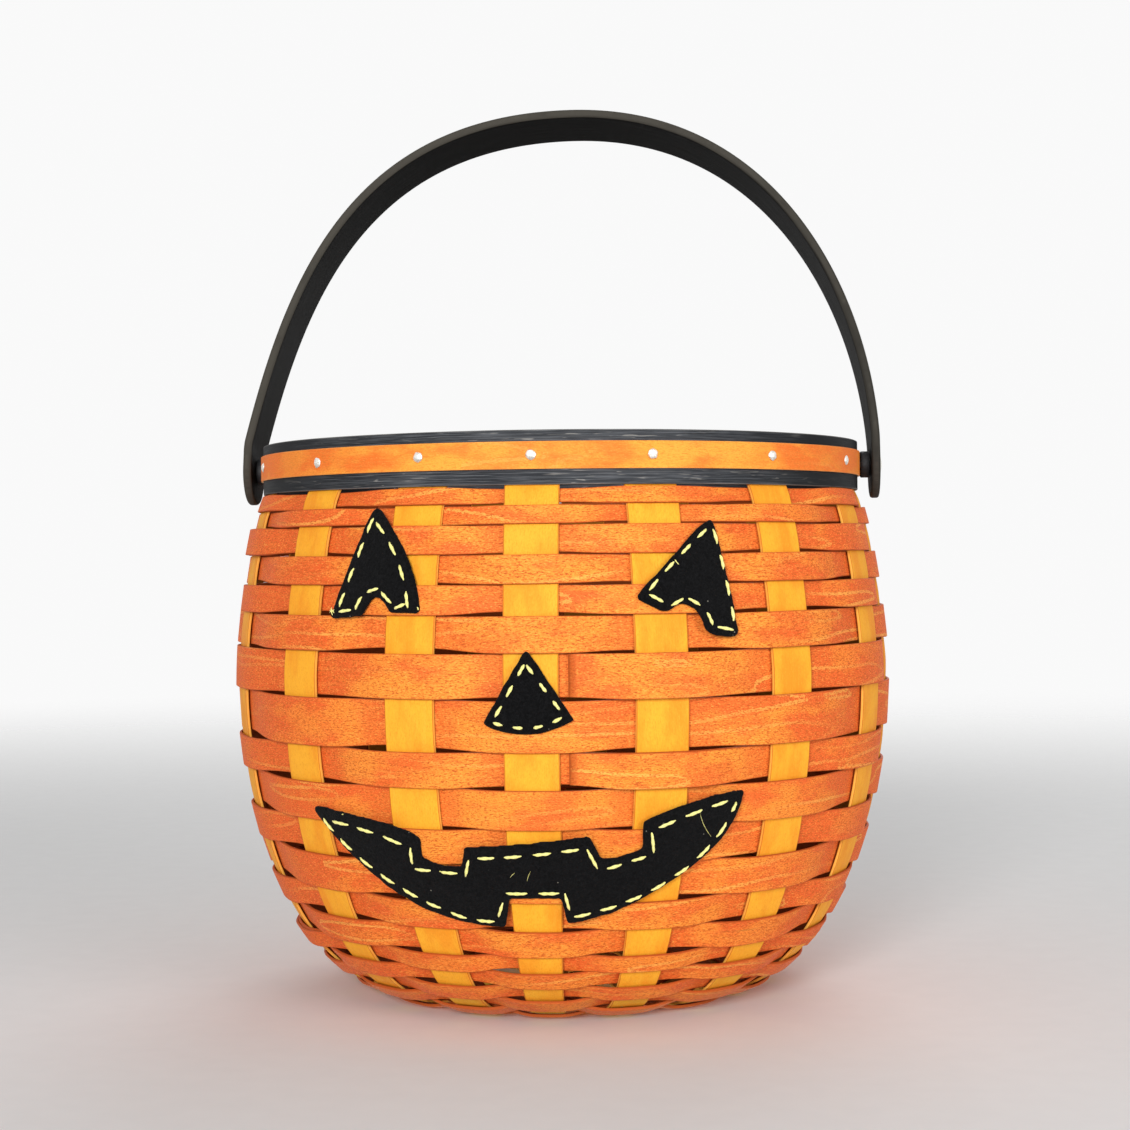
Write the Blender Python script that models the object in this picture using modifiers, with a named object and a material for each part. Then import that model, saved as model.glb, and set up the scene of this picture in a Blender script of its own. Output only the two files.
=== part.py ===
"""Round woven splint basket with a swing handle and a felt face. Metres, +Z up.

The basket stands at z = 0 on the underside of its base weave, and its axis is Z. The face looks along -Y.
Eight long splints cross under the middle and rise as sixteen arms. One weaver strip runs round for each row,
in front of one arm and behind the next, with its ends lapped. Two rim bands hold the arm tips between them.
The handle swings on two rivets through the rim, about the X direction.
"""

import math

import bmesh
import bpy
from mathutils import Euler
from mathutils import Matrix
from mathutils import Vector
from mathutils.geometry import interpolate_bezier

MM = 0.001

# Body, as the middle surface of the upright arms
RIM_HEIGHT = 200 * MM
RIM_RADIUS = 108.6 * MM
BELLY_SWELL = 10.9 * MM
BELLY_HEIGHT = 118 * MM
BASE_RADIUS = 62 * MM
NECK_LEAN = math.radians(30)
NECK_ROUNDING = 12 * MM
SHOULDER_ROUNDING = 10 * MM
PROFILE_STEPS = 48

# Splint stock
CLEARANCE = 0.3 * MM
SPLINT_THICKNESS = 1.0 * MM
WEAVER_THICKNESS = 1.0 * MM
ARM_WIDTH = 18 * MM
FOOT_WIDTH = 11 * MM
WAIST_WIDTH = 5 * MM
TAPER_TOP = 62 * MM

# Where the eight splints point, turned from the front towards +X
SPLINT_AZIMUTHS = [math.radians(angle) for angle in (-70.2, -43.6, -20.4, -0.6, 19.9, 44.0, 69.3, 90.0)]
PIVOT_SPLINT = 7

# Weaver rows: the strip of each side row, from the rim down, and how many equal rows share the rest of the way in
SLIM_STRIP = 5.65 * MM
NARROW_STRIP = 9.3 * MM
LOW_STRIP = 10 * MM
MIDDLE_STRIP = 11.5 * MM
BROAD_STRIP = 12.7 * MM
WIDE_STRIP = 14.4 * MM
WIDEST_STRIP = 16 * MM
SIDE_ROWS = (
    SLIM_STRIP, SLIM_STRIP, NARROW_STRIP, NARROW_STRIP, NARROW_STRIP, MIDDLE_STRIP, WIDE_STRIP, WIDEST_STRIP,
    MIDDLE_STRIP, BROAD_STRIP, MIDDLE_STRIP, BROAD_STRIP, LOW_STRIP, LOW_STRIP,
)
BASE_ROWS = 10
ROW_GAP = 0.62 * MM
CROSSING_MARGIN = 0.6 * MM
INNER_ROW_RADIUS = 34 * MM
LAP_ARMS = 2
LAP_SETBACK = 2.5 * MM
FRONT_LAP_ROWS = (6, 8)
FIRST_BACK_LAP = 9
BACK_LAP_STEP = 2
BACK_LAP_COUNT = 3

# Rim
RIM_BAND_WIDTH = 17.8 * MM
BAND_THICKNESS = 1.0 * MM
TRIM_WIDTH = 9 * MM
TRIM_THICKNESS = 0.7 * MM
TRIM_DROP = 8.2 * MM

# Tacks through the rim
TACK_HEAD_RADIUS = 1.75 * MM
TACK_HEAD_RISE = 0.8 * MM
TACK_SHANK = 1.0 * MM
TACK_POINT = 0.5 * MM
TACK_SIDES = 8

# Handle and its pivots. The bend is unequal: each pair is for the left and the right leg.
HANDLE_RISE = 139.2 * MM
HANDLE_WIDTH = 24 * MM
HANDLE_THICKNESS = 3.2 * MM
HANDLE_TAIL = 12.5 * MM
HANDLE_STRAIGHT = 8 * MM
HANDLE_SHOULDER = 67 * MM
HANDLE_LEANS_IN = (12.5 * MM, 3 * MM)
HANDLE_CROWN_SHIFT = 4.5 * MM
HANDLE_CROWN_PULLS = (88 * MM, 75 * MM)
HANDLE_EDGE = 0.7 * MM
HANDLE_REST_LEAN = math.radians(12)
HANDLE_STEPS = 15
TIP_STEPS = 4
TIP_TURN = 75
SPACER_THICKNESS = 3.3 * MM
SPACER_RADIUS = 4.9 * MM
RIVET_RADIUS = 2.0 * MM
RIVET_HEAD_RADIUS = 4.2 * MM
RIVET_HEAD_RISE = 0.9 * MM
RIVET_TAIL_RADIUS = 3.2 * MM
RIVET_TAIL_RISE = 1.1 * MM
RIVET_SIDES = 12
SPACER_SIDES = 20

# Felt face, in millimetres across from the front and up from its own middle line, measured along the weave.
# FACE_DROP is the way along the weave from the rim's top down to that line.
# A point of two numbers ends a straight edge, and one of four is a bend's control and its end.
FACE_DROP = 83.2 * MM
FELT_THICKNESS = 1.2 * MM
FELT_CELL = 10 * MM
FELT_BEND_STEPS = 5
FELT_OUTLINES = {
    "felt_eye_left": (
        (-73.3, 21.6), (-67.0, 38.8, -59.7, 56.2), (-57.7, 57.5), (-55.7, 56.4), (-43.8, 43.9, -40.9, 35.4),
        (-38.2, 27.8, -38.0, 23.5), (-38.6, 22.7), (-49.0, 22.9), (-50.7, 25.5), (-54.2, 30.1, -57.1, 26.2),
        (-60.4, 21.6), (-71.6, 21.0),
    ),
    "felt_eye_right": (
        (58.7, 51.5), (60.8, 52.4), (62.1, 50.8), (64.7, 35.0, 66.7, 25.9), (67.0, 20.7), (67.9, 16.1),
        (67.2, 14.4), (64.6, 13.7), (57.2, 15.4), (55.7, 16.6), (54.3, 23.0, 51.4, 23.9),
        (48.4, 26.1, 45.2, 23.9), (42.4, 22.5), (40.2, 23.1), (34.4, 26.1), (33.0, 27.3), (34.0, 29.0),
        (54.2, 48.3),
    ),
    "felt_nose": (
        (-16.2, -12.0), (-3.2, 10.4), (-2.5, 11.0), (-1.7, 10.6), (12.4, -10.8), (12.2, -11.2),
        (-1.5, -19.2, -16.0, -12.4),
    ),
    "felt_mouth": (
        (-12.6, -80.4), (-34.6, -80.1, -52.1, -70.3), (-70.6, -59.1, -85.1, -43.0), (-84.4, -41.8),
        (-81.9, -41.6), (-65.0, -43.8, -53.1, -45.5), (-45.5, -47.1, -41.1, -49.6), (-40.3, -51.0),
        (-40.7, -56.4), (-35.3, -59.4, -26.2, -59.1), (-25.0, -52.6), (-3.3, -51.2, 17.2, -48.6),
        (21.2, -56.1), (26.8, -56.8, 35.3, -52.9), (34.8, -44.2), (51.1, -37.2, 70.4, -35.3),
        (70.1, -41.4, 65.3, -48.9), (57.2, -59.5, 38.9, -69.1), (26.0, -76.5, 10.6, -79.0), (10.1, -78.7),
        (7.5, -69.7), (-10.2, -69.9),
    ),
}

# Sizes that follow from those above
ARM_COUNT = 2 * len(SPLINT_AZIMUTHS)
ARM_AZIMUTHS = SPLINT_AZIMUTHS + [angle + math.pi for angle in SPLINT_AZIMUTHS]
FRONT_ARM = min(range(ARM_COUNT), key=lambda arm: abs(ARM_AZIMUTHS[arm]))
NARROWEST_TURN = min(
    (ARM_AZIMUTHS[(arm + 1) % ARM_COUNT] - ARM_AZIMUTHS[arm]) % math.tau for arm in range(ARM_COUNT)
)
HUB_RADIUS = (WAIST_WIDTH / 2 + CLEARANCE) / math.sin(NARROWEST_TURN / 2)
HUB_STEP = SPLINT_THICKNESS + CLEARANCE
BELLY_RADIUS = RIM_RADIUS + BELLY_SWELL
TRIM_HEIGHT = RIM_HEIGHT - TRIM_DROP
ARM_FACE = SPLINT_THICKNESS / 2
WEAVE_OFFSET = ARM_FACE + CLEARANCE + WEAVER_THICKNESS / 2
WEAVE_FACE = ARM_FACE + CLEARANCE + WEAVER_THICKNESS
LAP_OFFSET = WEAVER_THICKNESS + CLEARANCE
BASE_LEVEL = WEAVE_FACE
NECK_HEIGHT = RIM_HEIGHT - RIM_BAND_WIDTH
NECK_DROP = (CLEARANCE + WEAVE_FACE * math.sin(NECK_LEAN)) / math.cos(NECK_LEAN)
BAND_OFFSET = ARM_FACE + CLEARANCE + BAND_THICKNESS / 2
BAND_FACE = ARM_FACE + CLEARANCE + BAND_THICKNESS
TRIM_OFFSET = BAND_FACE + CLEARANCE + TRIM_THICKNESS / 2
TRIM_FACE = BAND_FACE + CLEARANCE + TRIM_THICKNESS
SPACER_SEAT = RIM_RADIUS + TRIM_FACE + CLEARANCE
LEG_INNER = SPACER_SEAT + SPACER_THICKNESS + CLEARANCE
LEG_MIDDLE = LEG_INNER + HANDLE_THICKNESS / 2
LEG_OUTER = LEG_INNER + HANDLE_THICKNESS
BAND_INNER = RIM_RADIUS - BAND_FACE
CUTTER_REACH = 4 * MM


def clear_scene():
    for obj in list(bpy.data.objects):
        bpy.data.objects.remove(obj, do_unlink=True)


def new_collection(name):
    collection = bpy.data.collections.new(name)
    bpy.context.scene.collection.children.link(collection)
    return collection


def paint(name, colour, roughness, metallic=0.0):
    """A plain surface material."""
    material = bpy.data.materials.new(name)
    material.use_nodes = True
    shader = material.node_tree.nodes["Principled BSDF"]
    shader.inputs["Base Color"].default_value = (*colour, 1)
    shader.inputs["Roughness"].default_value = roughness
    shader.inputs["Metallic"].default_value = metallic
    material.diffuse_color = (*colour, 1)
    return material


def add_object(name, mesh, material, collection):
    obj = bpy.data.objects.new(name, mesh)
    collection.objects.link(obj)
    if material:
        mesh.materials.append(material)
    return obj


def mesh_from(name, bm):
    mesh = bpy.data.meshes.new(name)
    bm.to_mesh(mesh)
    bm.free()
    return mesh


def thicken(obj, thickness, offset=0.0):
    """Gives an open surface its wall thickness; offset 0 puts the surface in the middle of the wall."""
    shell = obj.modifiers.new("wall", "SOLIDIFY")
    shell.thickness = thickness
    shell.offset = offset
    shell.use_even_offset = True


def cut(obj, cutter):
    hole = obj.modifiers.new("holes", "BOOLEAN")
    hole.operation = "DIFFERENCE"
    hole.object = cutter
    hole.solver = "EXACT"


def body_profile():
    """Middle line of an arm from the rim down and in to the axis, as (radius, height) points."""
    neck = Vector((RIM_RADIUS, NECK_HEIGHT))
    belly = Vector((BELLY_RADIUS, BELLY_HEIGHT))
    neck_handle = neck + NECK_ROUNDING * Vector((math.sin(NECK_LEAN), -math.cos(NECK_LEAN)))
    belly_handle = belly + Vector((0, SHOULDER_ROUNDING))
    points = [Vector((RIM_RADIUS, RIM_HEIGHT))]
    points += interpolate_bezier(neck, neck_handle, belly_handle, belly, PROFILE_STEPS)
    for step in range(1, PROFILE_STEPS + 1):
        turn = math.pi / 2 * step / PROFILE_STEPS
        radius = BASE_RADIUS + (BELLY_RADIUS - BASE_RADIUS) * math.cos(turn)
        height = BELLY_HEIGHT - (BELLY_HEIGHT - BASE_LEVEL) * math.sin(turn)
        points.append(Vector((radius, height)))
    points.append(Vector((0, BASE_LEVEL)))
    return points


class Line:
    """A chain of points that can be read at any distance from its start."""

    def __init__(self, points):
        self.points = points
        self.marks = [0.0]
        for start, end in zip(points, points[1:]):
            self.marks.append(self.marks[-1] + (end - start).length)
        self.length = self.marks[-1]

    def at(self, distance):
        for index in range(1, len(self.marks)):
            if distance <= self.marks[index] or index == len(self.marks) - 1:
                span = self.marks[index] - self.marks[index - 1]
                share = (distance - self.marks[index - 1]) / span
                return self.points[index - 1].lerp(self.points[index], share)

    def mark_of(self, point):
        """Distance of the chain's point nearest to the given one."""
        nearest = min(range(len(self.points)), key=lambda index: (self.points[index] - point).length)
        return self.marks[nearest]


PROFILE = Line(body_profile())
BELLY_MARK = PROFILE.mark_of(Vector((BELLY_RADIUS, BELLY_HEIGHT)))
FOOT_MARK = PROFILE.length - BASE_RADIUS


def row_stations():
    """Distances along the profile that part the rows: row n lies between stations n and n + 1."""
    start = RIM_BAND_WIDTH + NECK_DROP - ROW_GAP / 2
    side_end = start + sum(SIDE_ROWS) + len(SIDE_ROWS) * ROW_GAP
    base_pitch = (PROFILE.length - INNER_ROW_RADIUS - side_end) / BASE_ROWS
    stations = [start]
    for width in SIDE_ROWS:
        stations.append(stations[-1] + width + ROW_GAP)
    for _ in range(BASE_ROWS):
        stations.append(stations[-1] + base_pitch)
    return stations


STATIONS = row_stations()
ROW_COUNT = len(SIDE_ROWS) + BASE_ROWS


def arm_width(distance):
    """Width of an arm at a distance from the rim: full on the side, then tapering in two steps to the waist."""
    radius_left = PROFILE.length - distance
    taper_mark = BELLY_MARK + TAPER_TOP
    if distance <= taper_mark:
        return ARM_WIDTH
    if distance <= FOOT_MARK:
        share = (distance - taper_mark) / (FOOT_MARK - taper_mark)
        return ARM_WIDTH + (FOOT_WIDTH - ARM_WIDTH) * share
    if radius_left >= HUB_RADIUS:
        share = (BASE_RADIUS - radius_left) / (BASE_RADIUS - HUB_RADIUS)
        return FOOT_WIDTH + (WAIST_WIDTH - FOOT_WIDTH) * share
    return WAIST_WIDTH


def place(point, azimuth, sideways=0.0):
    """World position of a (radius, height) point in an arm's plane, moved sideways along the weave."""
    outward = Vector((math.sin(azimuth), -math.cos(azimuth), 0))
    along = Vector((math.cos(azimuth), math.sin(azimuth), 0))
    return outward * point.x + along * sideways + Vector((0, 0, point.y))


def outward_normal(upper, lower):
    """Unit normal, in an arm's plane, of the stretch from an upper to a lower point."""
    direction = (lower - upper).normalized()
    return Vector((-direction.y, direction.x))


def ribbon(name, first_edge, second_edge, closed):
    """Open surface between two chains of points, which have the same number of points."""
    bm = bmesh.new()
    edges = []
    for chain in (first_edge, second_edge):
        corners = [bm.verts.new(point) for point in chain]
        pairs = list(zip(corners, corners[1:]))
        if closed:
            pairs.append((corners[-1], corners[0]))
        edges += [bm.edges.new(pair) for pair in pairs]
    bmesh.ops.bridge_loops(bm, edges=edges)
    bmesh.ops.recalc_face_normals(bm, faces=bm.faces)
    return mesh_from(name, bm)


def splint_half(splint):
    """Middle points of one arm of a splint from its tip to the middle, each with its half width."""
    on_side = [mark for mark in STATIONS if mark < FOOT_MARK]
    marks = [CLEARANCE, RIM_BAND_WIDTH] + on_side + [max(FOOT_MARK, STATIONS[len(on_side)]), STATIONS[-1]]
    points = [(PROFILE.at(mark), arm_width(mark) / 2) for mark in marks]
    stack_height = BASE_LEVEL + splint * HUB_STEP
    points.append((Vector((HUB_RADIUS, stack_height)), WAIST_WIDTH / 2))
    return points


def make_splints(material, cutters, collection):
    """Long strips that cross at the base middle, each one step higher than the last, and rise to the rim."""
    for splint, azimuth in enumerate(SPLINT_AZIMUTHS):
        half = splint_half(splint)
        near = [[place(point, azimuth, side * reach) for point, reach in half] for side in (-1, 1)]
        far = [[place(point, azimuth + math.pi, side * reach) for point, reach in half] for side in (1, -1)]
        edges = [near[index] + far[index][::-1] for index in range(2)]
        name = f"splint_{splint + 1:02d}"
        obj = add_object(name, ribbon(name, edges[0], edges[1], False), material, collection)
        thicken(obj, SPLINT_THICKNESS)
        cut(obj, cutters["pivot" if splint == PIVOT_SPLINT else "tack"])


def is_outside(row, arm):
    """Whether a row passes in front of an arm, seen from outside. The top row passes behind the front arm."""
    return (row + arm - FRONT_ARM) % 2 == 1


def lap_start(row):
    """The arm behind which a row's strip starts: beside the front arm on two rows, else spread over the back."""
    if row in FRONT_LAP_ROWS:
        return (FRONT_ARM + LAP_ARMS) % ARM_COUNT
    arm = FRONT_ARM + FIRST_BACK_LAP + BACK_LAP_STEP * (row % BACK_LAP_COUNT)
    if is_outside(row, arm):
        arm += 1
    return arm % ARM_COUNT


def weaver_edges(row):
    """Upper and lower edge of one strip, from its start behind an arm round to its lapped end."""
    top_mark, bottom_mark = STATIONS[row], STATIONS[row + 1]
    upper, lower = PROFILE.at(top_mark), PROFILE.at(bottom_mark)
    normal = outward_normal(upper, lower)
    half_gap = (lower - upper).normalized() * ROW_GAP / 2
    start = lap_start(row)
    on_base = lower.y + normal.y * (WEAVE_FACE + LAP_OFFSET) < 0
    lap_arms = 0 if on_base else LAP_ARMS
    edges = ([], [])
    for visit in range(ARM_COUNT + lap_arms + 1):
        arm = (start - visit) % ARM_COUNT
        outside = is_outside(row, arm)
        offset = WEAVE_OFFSET if outside else -WEAVE_OFFSET
        last = visit == ARM_COUNT + lap_arms
        if visit < max(lap_arms, 1) and not outside:
            offset -= LAP_OFFSET
        if visit >= ARM_COUNT and (outside or (last and not on_base)):
            offset += LAP_OFFSET
        for side in (1, -1):
            if last and side == -1 and not on_base:
                continue
            for edge, point, mark in ((0, upper + half_gap, top_mark), (1, lower - half_gap, bottom_mark)):
                reach = side * (arm_width(mark) / 2 + CROSSING_MARGIN)
                if last and side == -1:
                    reach += LAP_SETBACK
                edges[edge].append(place(point + normal * offset, ARM_AZIMUTHS[arm], reach))
    return edges


def make_weavers(material, collection):
    """One strip for each row, numbered from the rim down the side and in along the base."""
    for row in range(ROW_COUNT):
        name = f"weaver_{row + 1:02d}"
        upper, lower = weaver_edges(row)
        obj = add_object(name, ribbon(name, upper, lower, False), material, collection)
        thicken(obj, WEAVER_THICKNESS)


def rim_edge(height, offset):
    """A round of points at a height in the rim, flat across each arm."""
    reach = ARM_WIDTH / 2 + CROSSING_MARGIN
    point = Vector((RIM_RADIUS + offset, height))
    return [place(point, azimuth, side * reach) for azimuth in ARM_AZIMUTHS for side in (-1, 1)]


def make_rim_band(name, middle, width, thickness, offset, material, cutters, collection):
    upper = rim_edge(middle + width / 2, offset)
    lower = rim_edge(middle - width / 2, offset)
    obj = add_object(name, ribbon(name, upper, lower, True), material, collection)
    thicken(obj, thickness)
    cut(obj, cutters["tack"])
    cut(obj, cutters["pivot"])
    return obj


def make_rim(paints, cutters, collection):
    """An inner and an outer band that hold the arm tips, and a narrow trim strip round the outer one."""
    middle = RIM_HEIGHT - RIM_BAND_WIDTH / 2
    band = (middle, RIM_BAND_WIDTH, BAND_THICKNESS)
    make_rim_band("rim_band_inner", *band, -BAND_OFFSET, paints["rim"], cutters, collection)
    make_rim_band("rim_band_outer", *band, BAND_OFFSET, paints["rim"], cutters, collection)
    trim = (TRIM_HEIGHT, TRIM_WIDTH, TRIM_THICKNESS)
    make_rim_band("rim_trim", *trim, TRIM_OFFSET, paints["trim"], cutters, collection)


def turned(name, profile, steps, material, collection, closed=False):
    """A solid of revolution about Z from (radius, height) points running from its top down its outside."""
    bm = bmesh.new()
    corners = [bm.verts.new((radius, 0, height)) for radius, height in profile]
    for pair in zip(corners, corners[1:]):
        bm.edges.new(pair)
    if closed:
        bm.edges.new((corners[-1], corners[0]))
    obj = add_object(name, mesh_from(name, bm), material, collection)
    lathe = obj.modifiers.new("turn", "SCREW")
    lathe.axis = "Z"
    lathe.steps = steps
    lathe.render_steps = steps
    lathe.use_merge_vertices = True
    lathe.merge_threshold = 0.00001
    lathe.use_smooth_shade = True
    return obj


def rim_frame(azimuth, height):
    """Matrix whose Z axis points outward from the rim at an azimuth, and whose origin is on the arm's middle."""
    turn = Matrix.Rotation(azimuth, 4, "Z") @ Matrix.Rotation(math.pi / 2, 4, "X")
    return Matrix.Translation(place(Vector((RIM_RADIUS, height)), azimuth)) @ turn


def tack_arms():
    return [arm for arm in range(ARM_COUNT) if arm % len(SPLINT_AZIMUTHS) != PIVOT_SPLINT]


def hole_block(bm, frame, side, start, end):
    """A square bar along a frame's Z axis, from start to end."""
    shape = Matrix.Translation((0, 0, (start + end) / 2)) @ Matrix.Diagonal((side, side, end - start, 1))
    bmesh.ops.create_cube(bm, size=1, matrix=frame @ shape)


def make_cutters(collection):
    """Square holes for the tacks and round ones for the rivets, through all layers of the rim."""
    bm = bmesh.new()
    for arm in tack_arms():
        frame = rim_frame(ARM_AZIMUTHS[arm], TRIM_HEIGHT)
        hole_block(bm, frame, TACK_SHANK + 2 * CLEARANCE, -CUTTER_REACH, CUTTER_REACH)
    tack = add_object("tack_holes", mesh_from("tack_holes", bm), None, collection)
    bm = bmesh.new()
    for side in (-1, 1):
        frame = rim_frame(side * math.pi / 2, TRIM_HEIGHT)
        bmesh.ops.create_cone(
            bm, cap_ends=True, segments=RIVET_SIDES, radius1=RIVET_RADIUS + CLEARANCE,
            radius2=RIVET_RADIUS + CLEARANCE, depth=2 * CUTTER_REACH, matrix=frame,
        )
    pivot = add_object("pivot_holes", mesh_from("pivot_holes", bm), None, collection)
    bm = bmesh.new()
    bmesh.ops.create_cone(
        bm, cap_ends=True, segments=RIVET_SIDES, radius1=RIVET_RADIUS + CLEARANCE,
        radius2=RIVET_RADIUS + CLEARANCE, depth=2 * (LEG_OUTER + CUTTER_REACH),
        matrix=Matrix.Rotation(math.pi / 2, 4, "Y"),
    )
    handle = add_object("handle_holes", mesh_from("handle_holes", bm), None, collection)
    for cutter in (tack, pivot, handle):
        cutter.hide_render = True
        cutter.display_type = "WIRE"
    return {"tack": tack, "pivot": pivot, "handle": handle}


def dome(radius, rise, base, steps):
    """Points of a shallow dome from its crown down to its rim, standing on a base height."""
    sphere = (radius * radius + rise * rise) / (2 * rise)
    spread = math.asin(radius / sphere)
    points = []
    for step in range(steps + 1):
        turn = spread * step / steps
        points.append((sphere * math.sin(turn), base + rise - sphere * (1 - math.cos(turn))))
    return points


def joined_mesh(name, main, other):
    """Mesh of two objects made one solid; both objects are removed."""
    union = main.modifiers.new("join", "BOOLEAN")
    union.operation = "UNION"
    union.object = other
    union.solver = "EXACT"
    graph = bpy.context.evaluated_depsgraph_get()
    mesh = bpy.data.meshes.new_from_object(main.evaluated_get(graph))
    mesh.name = name
    bpy.data.objects.remove(main)
    bpy.data.objects.remove(other)
    return mesh


def tack_mesh(material, collection):
    """A domed head on a square shank, which lies along -Z from the trim's outer face through the rim."""
    seat = TRIM_FACE + CLEARANCE
    profile = dome(TACK_HEAD_RADIUS, TACK_HEAD_RISE, seat, 2) + [(0, seat)]
    head = turned("tack_head", profile, TACK_SIDES, material, collection)
    bm = bmesh.new()
    hole_block(bm, Matrix.Identity(4), TACK_SHANK, -BAND_FACE - TACK_POINT, seat + TACK_HEAD_RISE / 2)
    shank = add_object("tack_shank", mesh_from("tack_shank", bm), None, collection)
    return joined_mesh("tack", head, shank)


def make_tacks(material, collection):
    """One tack through the rim at each arm that carries no pivot."""
    mesh = tack_mesh(material, collection)
    for number, arm in enumerate(tack_arms()):
        tack = bpy.data.objects.new(f"tack_{number + 1:02d}", mesh)
        tack.matrix_world = rim_frame(ARM_AZIMUTHS[arm], TRIM_HEIGHT)
        collection.objects.link(tack)


def make_pivots(paints, collection):
    """A spacer ring and a domed rivet on each side, which carry the handle's legs."""
    for side, label in ((-1, "left"), (1, "right")):
        frame = Matrix.Translation((0, 0, TRIM_HEIGHT)) @ Matrix.Rotation(side * math.pi / 2, 4, "Y")
        bore = RIVET_RADIUS + CLEARANCE
        spacer_top = SPACER_SEAT + SPACER_THICKNESS
        ring = ((bore, spacer_top), (SPACER_RADIUS, spacer_top), (SPACER_RADIUS, SPACER_SEAT), (bore, SPACER_SEAT))
        spacer = turned(f"pivot_spacer_{label}", ring, SPACER_SIDES, paints["spacer"], collection, closed=True)
        spacer.matrix_world = frame
        tail_seat = BAND_INNER - CLEARANCE
        tail = [(radius, 2 * tail_seat - height) for radius, height in
                dome(RIVET_TAIL_RADIUS, RIVET_TAIL_RISE, tail_seat, 2)[::-1]]
        shaft = [(RIVET_RADIUS, LEG_OUTER + CLEARANCE), (RIVET_RADIUS, tail_seat)]
        profile = dome(RIVET_HEAD_RADIUS, RIVET_HEAD_RISE, LEG_OUTER + CLEARANCE, 3) + shaft + tail
        rivet = turned(f"pivot_rivet_{label}", profile, RIVET_SIDES, paints["metal"], collection)
        rivet.matrix_world = frame


def handle_half(side, lean_in, pull):
    """Middle line of the handle from its crown to one leg's tip, as (across, up) from the pivot."""
    crown = Vector((HANDLE_CROWN_SHIFT, HANDLE_RISE - HANDLE_THICKNESS / 2))
    crown_pull = crown + Vector((side * pull, 0))
    shoulder = Vector((side * (LEG_MIDDLE - lean_in), HANDLE_SHOULDER))
    leg = Vector((side * LEG_MIDDLE, HANDLE_STRAIGHT))
    points = interpolate_bezier(crown, crown_pull, shoulder, leg, HANDLE_STEPS)
    round_radius = HANDLE_WIDTH / 2
    tip = -HANDLE_TAIL
    halves = [(point, round_radius) for point in points]
    for step in range(TIP_STEPS):
        angle = math.radians(TIP_TURN) * step / (TIP_STEPS - 1)
        height = tip + round_radius * (1 - math.sin(angle))
        if height < HANDLE_STRAIGHT:
            halves.append((Vector((side * LEG_MIDDLE, height)), round_radius * math.cos(angle)))
    return halves


def make_handle(material, cutter, collection):
    """A bent strip with round ends. Its origin is the middle of the pivot axis, and it rests leaning back."""
    axis = bpy.data.objects.new("handle_axis", None)
    axis.location = (0, 0, TRIM_HEIGHT)
    axis.rotation_euler = Euler((-HANDLE_REST_LEAN, 0, 0))
    collection.objects.link(axis)
    left, right = [
        handle_half(side, lean_in, pull)
        for side, lean_in, pull in zip((-1, 1), HANDLE_LEANS_IN, HANDLE_CROWN_PULLS)
    ]
    chain = left[:0:-1] + right
    edges = [[Vector((point.x, side * reach, point.y)) for point, reach in chain] for side in (-1, 1)]
    handle = add_object("handle", ribbon("handle", edges[0], edges[1], False), material, collection)
    thicken(handle, HANDLE_THICKNESS)
    edge = handle.modifiers.new("eased_edges", "BEVEL")
    edge.width = HANDLE_EDGE
    edge.segments = 1
    edge.limit_method = "ANGLE"
    edge.angle_limit = math.radians(60)
    cut(handle, cutter)
    handle.parent = axis
    cutter.parent = axis


def felt_points(outline):
    """Outline in metres, with its bends drawn as short straight edges."""
    points = []
    for entry in outline:
        end = Vector(entry[-2:]) * MM
        if len(entry) == 4:
            start, control = points[-1], Vector(entry[:2]) * MM
            for step in range(1, FELT_BEND_STEPS):
                share = step / FELT_BEND_STEPS
                points.append(start.lerp(control, share).lerp(control.lerp(end, share), share))
        points.append(end)
    return points


def felt_level():
    """How far the felt's inner face lies from the arms' middle surface, clear of the weave's flat facets."""
    reach = ARM_WIDTH / 2 + CROSSING_MARGIN
    facet_corner = math.hypot(RIM_RADIUS, reach) - RIM_RADIUS
    cell_sag = FELT_CELL * FELT_CELL / (4 * RIM_RADIUS)
    return WEAVE_FACE + facet_corner + cell_sag + CLEARANCE


def on_weave(across, up, level):
    """World position of a point of the flat face layout, at a level over the arms' middle surface."""
    mark = FACE_DROP - up
    normal = outward_normal(PROFILE.at(mark - FELT_CELL / 4), PROFILE.at(mark + FELT_CELL / 4))
    return place(PROFILE.at(mark) + normal * level, across / BELLY_RADIUS)


def grid_cuts(values):
    """Places of the grid lines that lie between a list of values' ends."""
    first = math.floor(min(values) / FELT_CELL) + 1
    last = math.ceil(max(values) / FELT_CELL) - 1
    return [count * FELT_CELL for count in range(first, last + 1)]


def make_felt(material, collection):
    """Flat patches cut from sheet felt, laid over the weave and following its curve."""
    level = felt_level()
    for name, outline in FELT_OUTLINES.items():
        points = felt_points(outline)
        bm = bmesh.new()
        patch = bm.faces.new([bm.verts.new((point.x, point.y, 0)) for point in points])
        patch.normal_update()
        if patch.normal.z < 0:
            patch.normal_flip()
        for axis in (0, 1):
            normal = Vector((1 - axis, axis, 0))
            for place_on_axis in grid_cuts([point[axis] for point in points]):
                everything = bm.verts[:] + bm.edges[:] + bm.faces[:]
                bmesh.ops.bisect_plane(bm, geom=everything, plane_co=normal * place_on_axis, plane_no=normal)
        bmesh.ops.triangulate(bm, faces=bm.faces)
        for vert in bm.verts:
            vert.co = on_weave(vert.co.x, vert.co.y, level)
        obj = add_object(name, mesh_from(name, bm), material, collection)
        thicken(obj, FELT_THICKNESS, offset=1.0)


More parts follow.
